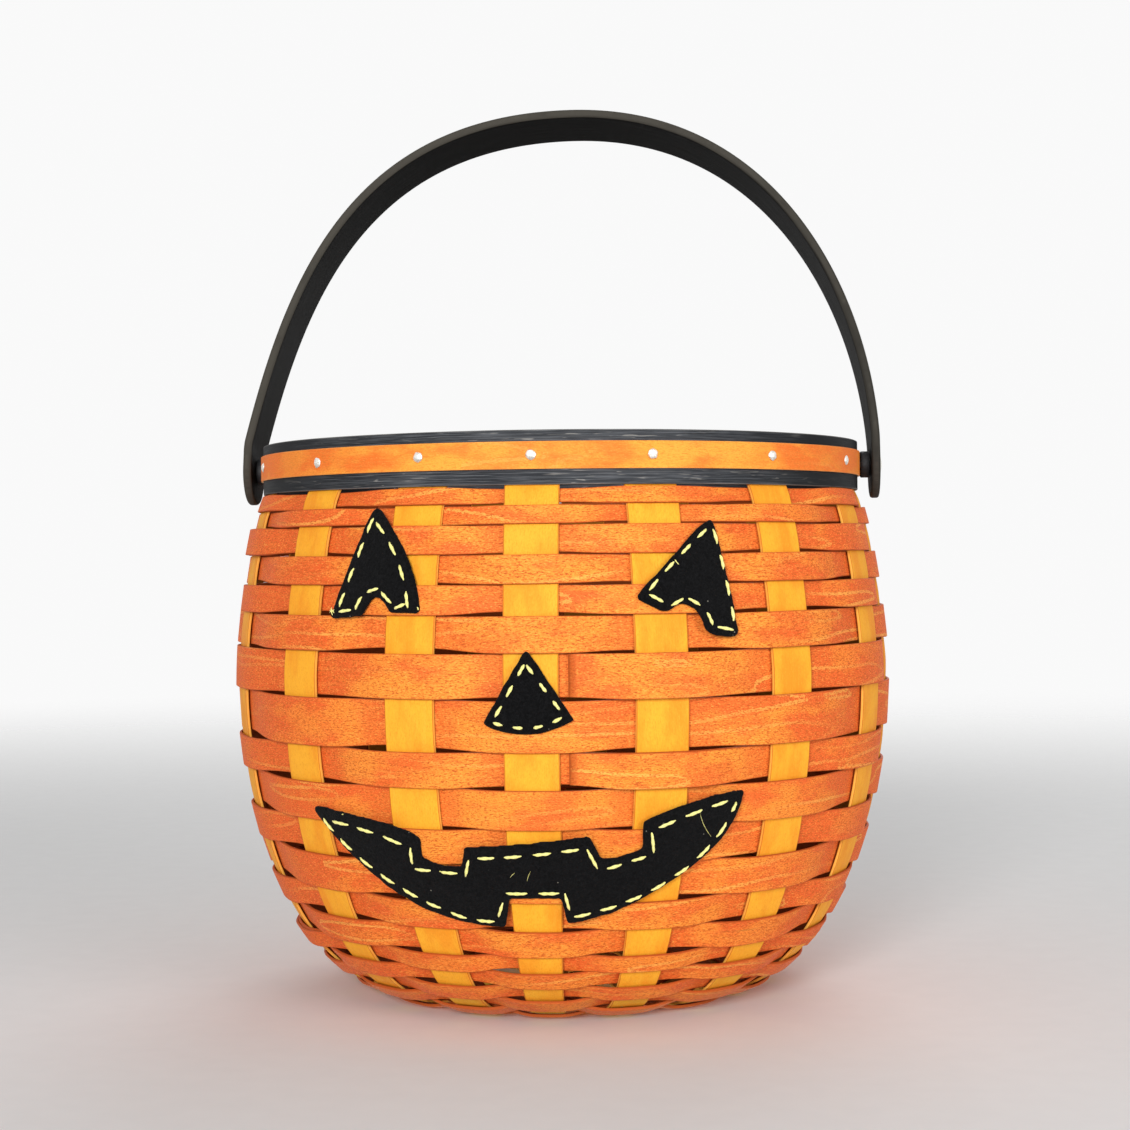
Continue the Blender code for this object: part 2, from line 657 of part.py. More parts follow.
def main():
    clear_scene()
    parts = new_collection("woven_basket")
    helpers = new_collection("cutters")
    paints = {
        "splint": paint("splint_yellow_orange", (1.0, 0.40, 0.02), 0.55),
        "weaver": paint("weaver_orange", (0.86, 0.19, 0.04), 0.55),
        "rim": paint("rim_black_stain", (0.012, 0.015, 0.02), 0.4),
        "trim": paint("trim_orange", (0.85, 0.22, 0.05), 0.5),
        "handle": paint("handle_black_stain", (0.02, 0.018, 0.017), 0.4),
        "spacer": paint("spacer_black", (0.015, 0.015, 0.015), 0.5),
        "metal": paint("bright_steel", (0.75, 0.76, 0.78), 0.25, 1.0),
        "felt": paint("felt_black", (0.006, 0.006, 0.007), 0.95),
    }
    cutters = make_cutters(helpers)
    make_splints(paints["splint"], cutters, parts)
    make_weavers(paints["weaver"], parts)
    make_rim(paints, cutters, parts)
    make_tacks(paints["metal"], parts)
    make_pivots(paints, parts)
    make_handle(paints["handle"], cutters["handle"], parts)
    make_felt(paints["felt"], parts)


main()
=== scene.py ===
import math

import bmesh
import bpy
import numpy as np
from mathutils import Matrix
from mathutils import Vector
from mathutils import noise
from mathutils.geometry import interpolate_bezier


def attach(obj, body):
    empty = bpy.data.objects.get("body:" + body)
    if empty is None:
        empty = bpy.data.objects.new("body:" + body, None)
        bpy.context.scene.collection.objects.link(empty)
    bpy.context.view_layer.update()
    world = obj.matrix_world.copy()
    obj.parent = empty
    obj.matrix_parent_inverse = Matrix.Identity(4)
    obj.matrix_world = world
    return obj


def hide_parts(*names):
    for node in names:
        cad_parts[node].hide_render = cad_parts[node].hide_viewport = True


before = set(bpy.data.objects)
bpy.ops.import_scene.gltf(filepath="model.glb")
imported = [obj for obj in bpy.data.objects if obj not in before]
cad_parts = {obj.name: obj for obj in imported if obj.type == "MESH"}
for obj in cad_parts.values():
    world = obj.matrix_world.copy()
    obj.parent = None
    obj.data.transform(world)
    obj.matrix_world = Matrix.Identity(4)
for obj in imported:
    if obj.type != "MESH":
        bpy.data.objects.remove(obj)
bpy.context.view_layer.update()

MM = 0.001

# Sizes of the part, as in its source
RIM_HEIGHT = 200 * MM
RIM_RADIUS = 108.6 * MM
BELLY_SWELL = 10.9 * MM
BELLY_HEIGHT = 118 * MM
BASE_RADIUS = 62 * MM
NECK_LEAN = math.radians(30)
NECK_ROUNDING = 12 * MM
SHOULDER_ROUNDING = 10 * MM
CLEARANCE = 0.3 * MM
STOCK = 1.0 * MM
ARM_WIDTH = 18 * MM
FOOT_WIDTH = 11 * MM
WAIST_WIDTH = 5 * MM
TAPER_TOP = 62 * MM
SPLINT_AZIMUTHS = [math.radians(angle) for angle in (-70.2, -43.6, -20.4, -0.6, 19.9, 44.0, 69.3, 90.0)]
PIVOT_SPLINT = 7
SIDE_ROWS = [
    width * MM for width in (5.65, 5.65, 9.3, 9.3, 9.3, 11.5, 14.4, 16, 11.5, 12.7, 11.5, 12.7, 10, 10)
]
BASE_ROWS = 10
ROW_GAP = 0.62 * MM
CROSSING_MARGIN = 0.6 * MM
INNER_ROW_RADIUS = 34 * MM
LAP_ARMS = 2
LAP_SETBACK = 2.5 * MM
FRONT_LAP_ROWS = (6, 8)
FIRST_BACK_LAP = 9
BACK_LAP_STEP = 2
BACK_LAP_COUNT = 3
RIM_BAND_WIDTH = 17.8 * MM
TRIM_WIDTH = 9 * MM
TRIM_THICKNESS = 0.7 * MM
TRIM_DROP = 8.2 * MM
HANDLE_RISE = 139.2 * MM
HANDLE_WIDTH = 24 * MM
HANDLE_THICKNESS = 3.2 * MM
HANDLE_TAIL = 12.5 * MM
HANDLE_STRAIGHT = 8 * MM
HANDLE_SHOULDER = 67 * MM
HANDLE_LEANS_IN = (12.5 * MM, 3 * MM)
HANDLE_CROWN_SHIFT = 4.5 * MM
HANDLE_CROWN_PULLS = (88 * MM, 75 * MM)
HANDLE_REST_LEAN = math.radians(12)
SPACER_THICKNESS = 3.3 * MM
SPACER_RADIUS = 4.9 * MM
RIVET_RADIUS = 2.0 * MM
RIVET_HEAD_RADIUS = 4.2 * MM
RIVET_HEAD_RISE = 0.9 * MM
RIVET_TAIL_RADIUS = 3.2 * MM
RIVET_TAIL_RISE = 1.1 * MM
FACE_DROP = 83.2 * MM
FELT_THICKNESS = 1.2 * MM
FELT_OUTLINES = {
    "felt_eye_left": (
        (-73.3, 21.6), (-67.0, 38.8, -59.7, 56.2), (-57.7, 57.5), (-55.7, 56.4), (-43.8, 43.9, -40.9, 35.4),
        (-38.2, 27.8, -38.0, 23.5), (-38.6, 22.7), (-49.0, 22.9), (-50.7, 25.5), (-54.2, 30.1, -57.1, 26.2),
        (-60.4, 21.6), (-71.6, 21.0),
    ),
    "felt_eye_right": (
        (58.7, 51.5), (60.8, 52.4), (62.1, 50.8), (64.7, 35.0, 66.7, 25.9), (67.0, 20.7), (67.9, 16.1),
        (67.2, 14.4), (64.6, 13.7), (57.2, 15.4), (55.7, 16.6), (54.3, 23.0, 51.4, 23.9),
        (48.4, 26.1, 45.2, 23.9), (42.4, 22.5), (40.2, 23.1), (34.4, 26.1), (33.0, 27.3), (34.0, 29.0),
        (54.2, 48.3),
    ),
    "felt_nose": (
        (-16.2, -12.0), (-3.2, 10.4), (-2.5, 11.0), (-1.7, 10.6), (12.4, -10.8), (12.2, -11.2),
        (-1.5, -19.2, -16.0, -12.4),
    ),
    "felt_mouth": (
        (-12.6, -80.4), (-34.6, -80.1, -52.1, -70.3), (-70.6, -59.1, -85.1, -43.0), (-84.4, -41.8),
        (-81.9, -41.6), (-65.0, -43.8, -53.1, -45.5), (-45.5, -47.1, -41.1, -49.6), (-40.3, -51.0),
        (-40.7, -56.4), (-35.3, -59.4, -26.2, -59.1), (-25.0, -52.6), (-3.3, -51.2, 17.2, -48.6),
        (21.2, -56.1), (26.8, -56.8, 35.3, -52.9), (34.8, -44.2), (51.1, -37.2, 70.4, -35.3),
        (70.1, -41.4, 65.3, -48.9), (57.2, -59.5, 38.9, -69.1), (26.0, -76.5, 10.6, -79.0), (10.1, -78.7),
        (7.5, -69.7), (-10.2, -69.9),
    ),
}

# Stitches on the felt, in the same layout: how many in a run, its start, its bend if any, and its end
FELT_STITCHES = {
    "felt_eye_left": (
        (4, (-58.2, 54.2), (-69.4, 24.2)), (1, (-69.7, 22.9), (-63.9, 23.8)),
        (1, (-62.6, 23.6), (-59.9, 28.2)),
        (1, (-58.3, 29.4), (-53.3, 30.8)), (1, (-52.4, 29.7), (-48.0, 25.8)),
        (1, (-47.2, 24.0), (-42.8, 25.8)),
        (4, (-42.0, 24.2), (-43.9, 41.1), (-57.3, 52.7)),
    ),
    "felt_eye_right": (
        (4, (61.1, 49.3), (64.2, 36.0), (66.2, 18.6)), (1, (66.1, 16.1), (59.7, 17.4)),
        (1, (58.3, 17.9), (56.5, 22.3)), (1, (54.5, 24.3), (50.0, 26.8)), (1, (48.8, 26.8), (43.9, 24.3)),
        (1, (42.1, 25.3), (36.8, 28.4)), (4, (37.0, 29.4), (47.3, 40.7), (59.0, 49.2)),
    ),
    "felt_nose": (
        (3, (-2.8, 6.6), (-12.3, -10.1)), (4, (-13.0, -11.6), (0.3, -15.8), (8.7, -9.9)),
        (3, (8.1, -7.8), (-2.4, 6.5)),
    ),
    "felt_mouth": (
        (7, (-80.8, -45.2), (-60.8, -66.4), (-26.6, -77.4)), (1, (-23.5, -77.8), (-16.2, -78.1)),
        (1, (-15.0, -76.6), (-12.6, -70.9)), (2, (-11.7, -67.8), (7.6, -67.7)),
        (1, (8.9, -67.4), (10.7, -74.2)),
        (7, (12.0, -76.3), (50.5, -68.7), (64.6, -45.4)), (1, (65.8, -42.7), (67.5, -39.0)),
        (3, (64.6, -38.5), (48.9, -42.4), (39.8, -46.4)), (1, (37.8, -47.4), (38.9, -54.9)),
        (2, (36.6, -55.6), (23.0, -59.5)), (1, (20.3, -59.8), (16.2, -52.3)),
        (4, (14.1, -52.6), (-3.3, -55.1), (-20.8, -55.9)), (1, (-23.3, -56.3), (-25.2, -62.6)),
        (2, (-27.6, -61.3), (-44.2, -60.4)), (1, (-44.4, -59.3), (-44.3, -52.8)),
        (3, (-47.1, -52.3), (-60.1, -47.5), (-76.7, -46.1)),
    ),
}

# Loose ends of floss and lint on the felt: the start, the bend and the end of each, and how thick it is
FELT_LINT = {
    "felt_eye_left": (
        ((-73.6, 22.6), (-72.4, 24.4), (-71.4, 22.4), 0.22),
        ((-73.0, 24.6), (-72.6, 22.6), (-72.0, 21.8), 0.20),
        ((-73.8, 23.6), (-72.0, 22.4), (-71.6, 24.0), 0.16),
        ((-38.7, 24.8), (-37.9, 24.2), (-38.3, 23.7), 0.20),
    ),
    "felt_eye_right": (
        ((46.4, 39.4), (46.8, 38.2), (47.8, 37.6), 0.18),
    ),
    "felt_nose": (),
    "felt_mouth": (
        ((-71.0, -43.8), (-70.6, -43.2), (-70.3, -43.5), 0.17),
        ((-34.5, -61.0), (-34.1, -60.5), (-33.8, -60.9), 0.17),
        ((-9.5, -62.4), (-8.9, -61.2), (-7.7, -60.6), 0.06),
        ((-3.8, -63.7), (-3.4, -61.5), (-2.3, -59.9), 0.06),
        ((54.2, -41.7), (55.3, -46.4), (59.5, -50.7), 0.06),
    ),
}

# Looks of the strips
WEAVE_SWING = 1.45 * MM
LAP_RISE = 1.08 * MM
STRIP_ROUNDING = 0.22 * MM
STRIP_HOLD = 0.3 * MM
ROW_CUP = 0.35
ROW_BULGE = 0.15
ROW_RAGGED = 0.35 * MM
ARM_CUP = 0.8
ARM_SWING = 0.12 * MM
ARM_RAGGED = 0.2 * MM
FIRST_ARM_IDENT = 40
SEAM_HALF = 0.11 * MM
SEAM_VARIATION = 0.25 * MM
SEAM_WANDER = 0.22 * MM
BACK_SEAM_HALF = 0.04 * MM
WEDGE = 1.85 * MM
WEDGE_TAPER = 1.2
FRONT_TUCK = 0.6
TOP_ROW_TUCK = 0.5
STEEPEST_TUCK = 1.25
STEPS_BETWEEN_ARMS = 14
ARM_TIP_MARKS = (CLEARANCE, 4 * MM, 10 * MM, RIM_BAND_WIDTH)
ARM_FIRST_STEP = 1.5 * MM
ARM_STEP = 2.5 * MM
BASE_FADE = 10 * MM
PROFILE_STEPS = 160
NORMAL_REACH = 1.5 * MM

ARM_COUNT = 2 * len(SPLINT_AZIMUTHS)
ARM_AZIMUTHS = SPLINT_AZIMUTHS + [angle + math.pi for angle in SPLINT_AZIMUTHS]
FRONT_ARM = min(range(ARM_COUNT), key=lambda arm: abs(ARM_AZIMUTHS[arm]))
NARROWEST_TURN = min(
    (ARM_AZIMUTHS[(arm + 1) % ARM_COUNT] - ARM_AZIMUTHS[arm]) % math.tau for arm in range(ARM_COUNT)
)
HUB_RADIUS = (WAIST_WIDTH / 2 + CLEARANCE) / math.sin(NARROWEST_TURN / 2)
HUB_STEP = STOCK + CLEARANCE
BELLY_RADIUS = RIM_RADIUS + BELLY_SWELL
TRIM_HEIGHT = RIM_HEIGHT - TRIM_DROP
ARM_FACE = STOCK / 2
WEAVE_FACE = ARM_FACE + CLEARANCE + STOCK
LAP_OFFSET = STOCK + CLEARANCE
BASE_LEVEL = WEAVE_FACE
NECK_HEIGHT = RIM_HEIGHT - RIM_BAND_WIDTH
NECK_DROP = (CLEARANCE + WEAVE_FACE * math.sin(NECK_LEAN)) / math.cos(NECK_LEAN)
BAND_FACE = ARM_FACE + CLEARANCE + STOCK
TRIM_FACE = BAND_FACE + CLEARANCE + TRIM_THICKNESS
SPACER_SEAT = RIM_RADIUS + TRIM_FACE + CLEARANCE
LEG_INNER = SPACER_SEAT + SPACER_THICKNESS + CLEARANCE
LEG_MIDDLE = LEG_INNER + HANDLE_THICKNESS / 2
LEG_OUTER = LEG_INNER + HANDLE_THICKNESS
BAND_INNER = RIM_RADIUS - BAND_FACE


# Lines and directions
def beside(*values):
    """Numbers and arrays side by side, along a new last axis."""
    return np.stack(np.broadcast_arrays(*values), axis=-1)


def unit(ways):
    return ways / np.linalg.norm(ways, axis=-1, keepdims=True)


def square_to(way):
    """Unit vector to the left of a flat direction."""
    way = unit(way)
    return beside(-way[..., 1], way[..., 0])


def run_marks(line):
    """Distances along a line of points, from its start to each of them."""
    return np.concatenate([[0.0], np.cumsum(np.linalg.norm(np.diff(line, axis=0), axis=1))])


def point_on(line, marks, mark):
    """Point of a flat line at a distance along it."""
    return beside(*(np.interp(mark, marks, line[:, axis]) for axis in (0, 1)))


def around(point, azimuth):
    """World positions of (radius, height) points turned to azimuths."""
    radius, height = point[..., 0], point[..., 1]
    return beside(radius * np.sin(azimuth), -radius * np.cos(azimuth), height)


def facing(azimuth, radius, height):
    """Matrix at a place round the basket, whose Z axis points outward."""
    turn = Matrix.Rotation(azimuth, 4, "Z") @ Matrix.Rotation(math.pi / 2, 4, "X")
    return Matrix.Translation(Vector(around(np.array((radius, height)), azimuth))) @ turn


def wobble(*place):
    """Smooth noise from -1 to 1, the same each run."""
    return noise.noise(Vector(place))


def wobble_round(pitch, level, azimuth):
    """Smooth noise that closes on itself round the basket, at azimuths."""
    return np.array([wobble(pitch * math.sin(turn), pitch * math.cos(turn), level) for turn in azimuth])


# The weave's own surface
def body_profile():
    """Middle line of an arm from the rim down and in to the axis, as (radius, height) rows."""
    neck = Vector((RIM_RADIUS, NECK_HEIGHT))
    belly = Vector((BELLY_RADIUS, BELLY_HEIGHT))
    neck_handle = neck + NECK_ROUNDING * Vector((math.sin(NECK_LEAN), -math.cos(NECK_LEAN)))
    belly_handle = belly + Vector((0, SHOULDER_ROUNDING))
    points = [Vector((RIM_RADIUS, RIM_HEIGHT))]
    points += interpolate_bezier(neck, neck_handle, belly_handle, belly, PROFILE_STEPS)
    for step in range(1, PROFILE_STEPS + 1):
        turn = math.pi / 2 * step / PROFILE_STEPS
        radius = BASE_RADIUS + (BELLY_RADIUS - BASE_RADIUS) * math.cos(turn)
        height = BELLY_HEIGHT - (BELLY_HEIGHT - BASE_LEVEL) * math.sin(turn)
        points.append(Vector((radius, height)))
    points.append(Vector((0, BASE_LEVEL)))
    return np.array([tuple(point) for point in points])


PROFILE = body_profile()
PROFILE_MARKS = run_marks(PROFILE)
PROFILE_LENGTH = PROFILE_MARKS[-1]
BELLY_MARK = PROFILE_MARKS[PROFILE_STEPS]
FOOT_MARK = PROFILE_LENGTH - BASE_RADIUS


def at(mark):
    """(radius, height) of the profile at a distance from the rim."""
    return point_on(PROFILE, PROFILE_MARKS, mark)


def normal_at(mark):
    """Outward normal of the profile, as (radial, up), smoothed over a few millimetres."""
    return square_to(at(mark + NORMAL_REACH) - at(mark - NORMAL_REACH))


def row_stations():
    """Distances along the profile that part the rows, as in the part."""
    start = RIM_BAND_WIDTH + NECK_DROP - ROW_GAP / 2
    side = np.cumsum([start] + [width + ROW_GAP for width in SIDE_ROWS])
    base = np.linspace(side[-1], PROFILE_LENGTH - INNER_ROW_RADIUS, BASE_ROWS + 1)
    return np.concatenate([side, base[1:]])


STATIONS = row_stations()
ROW_COUNT = len(STATIONS) - 1


def arm_width(mark):
    """Width of an arm at a distance from the rim: full on the side, then tapering in two steps."""
    marks = (BELLY_MARK + TAPER_TOP, FOOT_MARK, PROFILE_LENGTH - HUB_RADIUS)
    return np.interp(mark, marks, (ARM_WIDTH, FOOT_WIDTH, WAIST_WIDTH))


def is_outside(row, arm):
    """Whether a row passes in front of an arm."""
    return (row + arm - FRONT_ARM) % 2 == 1


def lap_start(row):
    """The arm behind which a row's strip starts."""
    if row in FRONT_LAP_ROWS:
        return (FRONT_ARM + LAP_ARMS) % ARM_COUNT
    arm = FRONT_ARM + FIRST_BACK_LAP + BACK_LAP_STEP * (row % BACK_LAP_COUNT)
    if is_outside(row, arm):
        arm += 1
    return arm % ARM_COUNT


# Mesh helpers
def link(name, vertices, faces):
    """A smooth piece from its vertices and faces."""
    mesh = bpy.data.meshes.new(name)
    mesh.from_pydata([tuple(vertex) for vertex in vertices], [], faces)
    mesh.update()
    mesh.shade_smooth()
    obj = bpy.data.objects.new(name, mesh)
    bpy.context.scene.collection.objects.link(obj)
    return obj


def edit_mesh(obj, work=None):
    """Lets some work change a piece's mesh, and turns the faces outward."""
    bm = bmesh.new()
    bm.from_mesh(obj.data)
    if work:
        work(bm)
    bmesh.ops.recalc_face_normals(bm, faces=bm.faces)
    bm.to_mesh(obj.data)
    bm.free()


def apply_modifiers(obj):
    """Puts the mesh that a piece's modifiers make in place of its own."""
    graph = bpy.context.evaluated_depsgraph_get()
    mesh = bpy.data.meshes.new_from_object(obj.evaluated_get(graph))
    obj.modifiers.clear()
    old = obj.data
    obj.data = mesh
    mesh.name = old.name
    bpy.data.meshes.remove(old)
    mesh.shade_smooth()


def add_vectors(obj, name, values):
    """Stores one vector for each vertex, which the materials read by name."""
    attribute = obj.data.attributes.new(name, "FLOAT_VECTOR", "POINT")
    attribute.data.foreach_set("vector", np.asarray(values, np.float32).reshape(-1))


def dress(obj, material, slot, body, *nodes):
    """Gives a piece its material, its body and the nodes that it stands for. The slot is not used."""
    obj.data.materials.clear()
    obj.data.materials.append(material)
    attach(obj, body)
    if nodes:
        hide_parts(*nodes)


def section_points():
    """One turn round a strip's section: share across, turn of the corner, hold, edge flag and face."""
    corner = ((0.0, 0.4), (math.pi / 4, 0.8), (math.pi / 2, 1.0))
    points = []
    for face in (1, -1):
        points += [(face * share, 0.0, STRIP_HOLD, 0.0, face) for share in np.linspace(-1, 1, 5)]
        points += [(face, turn, 0.0, edge, face) for turn, edge in corner]
        points += [(face, turn, 0.0, edge, -face) for turn, edge in corner[::-1]]
    return points


SECTION = section_points()


def tube_faces(rings, sides, first=0):
    """Faces of a tube with closed ends, whose rings of vertices are numbered from first on."""
    faces = []
    last = first + (rings - 1) * sides
    for ring in range(first, last, sides):
        for side in range(sides):
            following = (side + 1) % sides
            faces.append((ring + side, ring + following, ring + sides + following, ring + sides + side))
    return faces + [tuple(reversed(range(first, first + sides))), tuple(range(last, last + sides))]


def strip(name, first, second, thickness, ident, normals, lift, cup=0.0, rounding=STRIP_ROUNDING, ragged=0.0):
    """A thin strip between two edge lines, with eased corners; each vertex keeps its run, reach and lift."""
    count = len(first)
    thickness, cup = [np.broadcast_to(value, count)[:, None] for value in (thickness, cup)]
    middle = (first + second) / 2
    width = np.linalg.norm(second - first, axis=1)[:, None]
    across = (second - first) / width
    along = unit(np.gradient(middle, axis=0))
    normal = unit(np.cross(across, along))
    normal *= np.sign((normal * normals).sum(axis=1))[:, None]
    run = run_marks(middle)
    columns, places, forms = [], [], []
    for share, turn, hold, edge, face in SECTION:
        reach = share * (width / 2 - rounding * (1 - math.sin(turn)) - hold)
        height = face * (thickness / 2 - np.minimum(rounding, thickness / 2) * (1 - math.cos(turn)))
        bulge = cup * (1 - (2 * reach / width) ** 2)
        column = middle + across * reach + normal * (height + bulge)
        for end, way in ((0, 1), (-1, -1)):
            jag = ragged * wobble(ident * 3.1, reach[end, 0] * 900, end * 5.0)
            column[end] += along[end] * way * jag
        columns.append(column)
        places.append(beside(run / MM, reach[:, 0] / MM, ident))
        forms.append(beside(edge + 0 * run, lift, face))
    obj = link(name, np.stack(columns, axis=1).reshape(-1, 3), tube_faces(count, len(SECTION)))
    edit_mesh(obj)
    form = np.stack(forms, axis=1)
    form[[0, -1], :, 0] = 1.0
    add_vectors(obj, "strip", np.stack(places, axis=1))
    add_vectors(obj, "form", form)
    return obj


# Node helpers
class Value:
    """An output of a node. Signs between values add math nodes."""

    def __init__(self, nodes, socket):
        self.nodes = nodes
        self.socket = socket

    def __add__(self, other):
        return self.nodes.math("ADD", self, other)

    def __sub__(self, other):
        return self.nodes.math("SUBTRACT", self, other)

    def __rsub__(self, other):
        return self.nodes.math("SUBTRACT", other, self)

    def __mul__(self, other):
        return self.nodes.math("MULTIPLY", self, other)

    def __truediv__(self, other):
        return self.nodes.math("DIVIDE", self, other)

    def __abs__(self):
        return self.nodes.math("ABSOLUTE", self)


class Nodes:
    """The nodes of a material or a world, added by short calls."""

    def __init__(self, owner, shader):
        owner.use_nodes = True
        self.owner = owner
        self.tree = owner.node_tree
        self.shader = self.tree.nodes[shader]

    def feed(self, socket, value):
        if isinstance(value, Value):
            self.tree.links.new(value.socket, socket)
        else:
            socket.default_value = value

    def outputs(self, kind, inputs=None, **settings):
        made = self.tree.nodes.new("ShaderNode" + kind)
        for key, value in settings.items():
            setattr(made, key, value)
        for key, value in (inputs or {}).items():
            self.feed(made.inputs[key], value)
        return made.outputs

    def value(self, kind, output, inputs=None, **settings):
        return Value(self, self.outputs(kind, inputs, **settings)[output])

    def attribute(self, name):
        return self.value("Attribute", "Vector", attribute_name=name)

    def place(self):
        return self.value("TexCoord", "Object")

    def parts(self, vector):
        return [Value(self, socket) for socket in self.outputs("SeparateXYZ", {0: vector})]

    def math(self, operation, first, second=0.0, clamp=False):
        return self.value("Math", 0, {0: first, 1: second}, operation=operation, use_clamp=clamp)

    def vector_math(self, operation, first, second):
        return self.value("VectorMath", 0, {0: first, 1: second}, operation=operation)

    def noise(self, vector, scale, detail=2.0, rough=0.5, distortion=0.0):
        """Noise at one scale, or at a scale for each axis."""
        if isinstance(scale, tuple):
            vector, scale = self.vector_math("MULTIPLY", vector, scale), 1.0
        inputs = {"Vector": vector, "Scale": scale, "Detail": detail, "Roughness": rough}
        return self.value("TexNoise", "Fac", inputs | {"Distortion": distortion})

    def span(self, value, low, high, to_low=0.0, to_high=1.0):
        """Soft step of a value from one pair of numbers to another."""
        inputs = {"Value": value, "From Min": low, "From Max": high, "To Min": to_low, "To Max": to_high}
        return self.value("MapRange", "Result", inputs, interpolation_type="SMOOTHSTEP")

    def layers(self, colour, *coats):
        """A colour with others laid over it, each by its share."""
        for share, coat in coats:
            under, over = [(*tint, 1) if isinstance(tint, tuple) else tint for tint in (colour, coat)]
            colour = self.value("Mix", "Result", {"Factor": share, "A": under, "B": over}, data_type="RGBA")
        return colour

    def bump(self, height, distance, strength):
        inputs = {"Height": height, "Distance": distance, "Strength": strength}
        self.feed(self.shader.inputs["Normal"], self.value("Bump", "Normal", inputs))

    def finish(self, colour, roughness, **numbers):
        for key, value in (("Base Color", colour), ("Roughness", roughness), *numbers.items()):
            self.feed(self.shader.inputs[key.replace("_", " ")], value)
        return self.owner


def new_material(name):
    return Nodes(bpy.data.materials.new(name), "Principled BSDF")


# Materials
FIGURE_BROWN = (0.34, 0.17, 0.03)
WOOD_RELIEF = 0.10 * MM
STAIN_RELIEF = 0.15 * MM
FELT_RELIEF = 0.6 * MM
FINE_RELIEF = 0.2 * MM
DENT_RELIEF = 0.4 * MM


def dyed_wood(name, body, deep, light, speck, edge, corner, inside, figure_lines, figure_share, under_arm_shade_share,
              speck_share, side_shade_share, corner_share, inner_shade_share):
    """Thin dyed splint: figure, fibres, pores, dye blotches, coloured edges, and painted shade under arms, at
    the sides and inside.
    """
    wood = new_material(name)
    grain = wood.attribute("strip")
    run, reach, ident = wood.parts(grain)
    edge_flag, lift, face = wood.parts(wood.attribute("form"))

    # Painted shade: the colour goes deeper toward the left and right sides
    across, back, _ = wood.parts(wood.place())
    away = wood.span(abs((back - across * 0.14) / BELLY_RADIUS), 0.98, 0.38) * side_shade_share

    # Grain that runs a little aslant, another way in each strip
    aslant = wood.math("FRACT", ident * 0.37) - 0.5
    leaning = wood.value("CombineXYZ", 0, {0: run, 1: reach + run * (aslant * 0.12), 2: ident})
    blotch = wood.noise(grain, (0.045, 0.10, 1.7), 3.0, 0.55)
    fibre = wood.noise(leaning, (0.09, 3.2, 2.3), 3.0, 0.6)
    fine = wood.noise(leaning, (1.25, 2.9, 1.9), 2.0, 0.65)
    pores = wood.span(wood.noise(leaning, (0.62, 3.4, 8.4), 2.5, 0.68), 0.37, 0.46, 1.0, 0.0)

    # Figure: lines of an even width that are sharp and light, with the dye deeper on one side of each
    teeth = wood.noise(grain, (0.9, 0.3, 1.3), 1.0)

    def ring_count(along, sideways):
        spot = wood.vector_math("ADD", grain, (along, sideways, 0.0))
        return wood.noise(spot, (0.011, 0.085, 0.9), 1.0, 0.35) * figure_lines + teeth * 0.14

    def step_between(first, second):
        return wood.math("MINIMUM", abs(wood.math("FLOOR", first) - wood.math("FLOOR", second)), 1.0)

    here = ring_count(0.0, 0.0)
    beside_it, ahead = ring_count(0.0, 1.0), ring_count(1.2, 0.0)
    line = wood.math("MAXIMUM", step_between(here, beside_it), step_between(here, ahead))
    strong = wood.span(wood.noise(grain, (0.014, 0.03, 2.9), 1.0), 0.40, 0.64, 0.08, 1.0) * figure_share
    shade = wood.span(wood.math("FRACT", here), 0.62, 1.0) * (strong * 0.55)
    streak = wood.span(wood.noise(grain, (0.03, 0.45, 0.83), 2.0, 0.7), 0.70, 0.76, 0.0, 0.6)

    # Painted shade where a strip runs deep under an arm, broken up by dye blotches, then the coats of colour
    # from the ground up
    under_arm_shade = wood.span(lift, 0.1, -0.95) + (blotch - 0.5) * 0.9
    under_arm_shade = wood.span(under_arm_shade, 0.1, 0.95) * under_arm_shade_share
    blotch_and_shade = wood.math("MAXIMUM", wood.span(blotch, 0.60, 0.34, 0.0, 0.85), under_arm_shade)
    colour = wood.layers(
        body,
        # Dye blotches with the painted shade under the arms, and painted shade toward the left and right
        # sides
        (wood.math("ADD", blotch_and_shade, away, clamp=True), deep),
        (shade, deep),
        (line * strong, light),
        (wood.span(fibre, 0.35, 0.75) * 0.16, light),
        (wood.span(fine, 0.54, 0.74, 0.0, speck_share), light),
        (wood.span(fine, 0.47, 0.30, 0.0, 1.6 * speck_share), speck),
        (pores * (1.4 * speck_share), speck),
        (streak * figure_share, FIGURE_BROWN),
        # Painted shade: the inner face darker, so that the gaps between rows look dark
        (wood.span(face, 0.0, -0.5) * inner_shade_share, inside),
        (wood.span(edge_flag, 0.06, 0.34) * corner_share, corner),
        # Cut edges; the weavers' dark edge colour is painted shade in the gaps between rows
        (wood.span(edge_flag + (fibre - 0.5) * 0.5, 0.72, 0.98), edge),
    )
    wood.bump(fibre + fine * 0.5 - pores * 0.5, WOOD_RELIEF, 0.5)
    return wood.finish(colour, wood.span(fibre, 0.2, 0.8, 0.55, 0.70), Specular_IOR_Level=0.15)


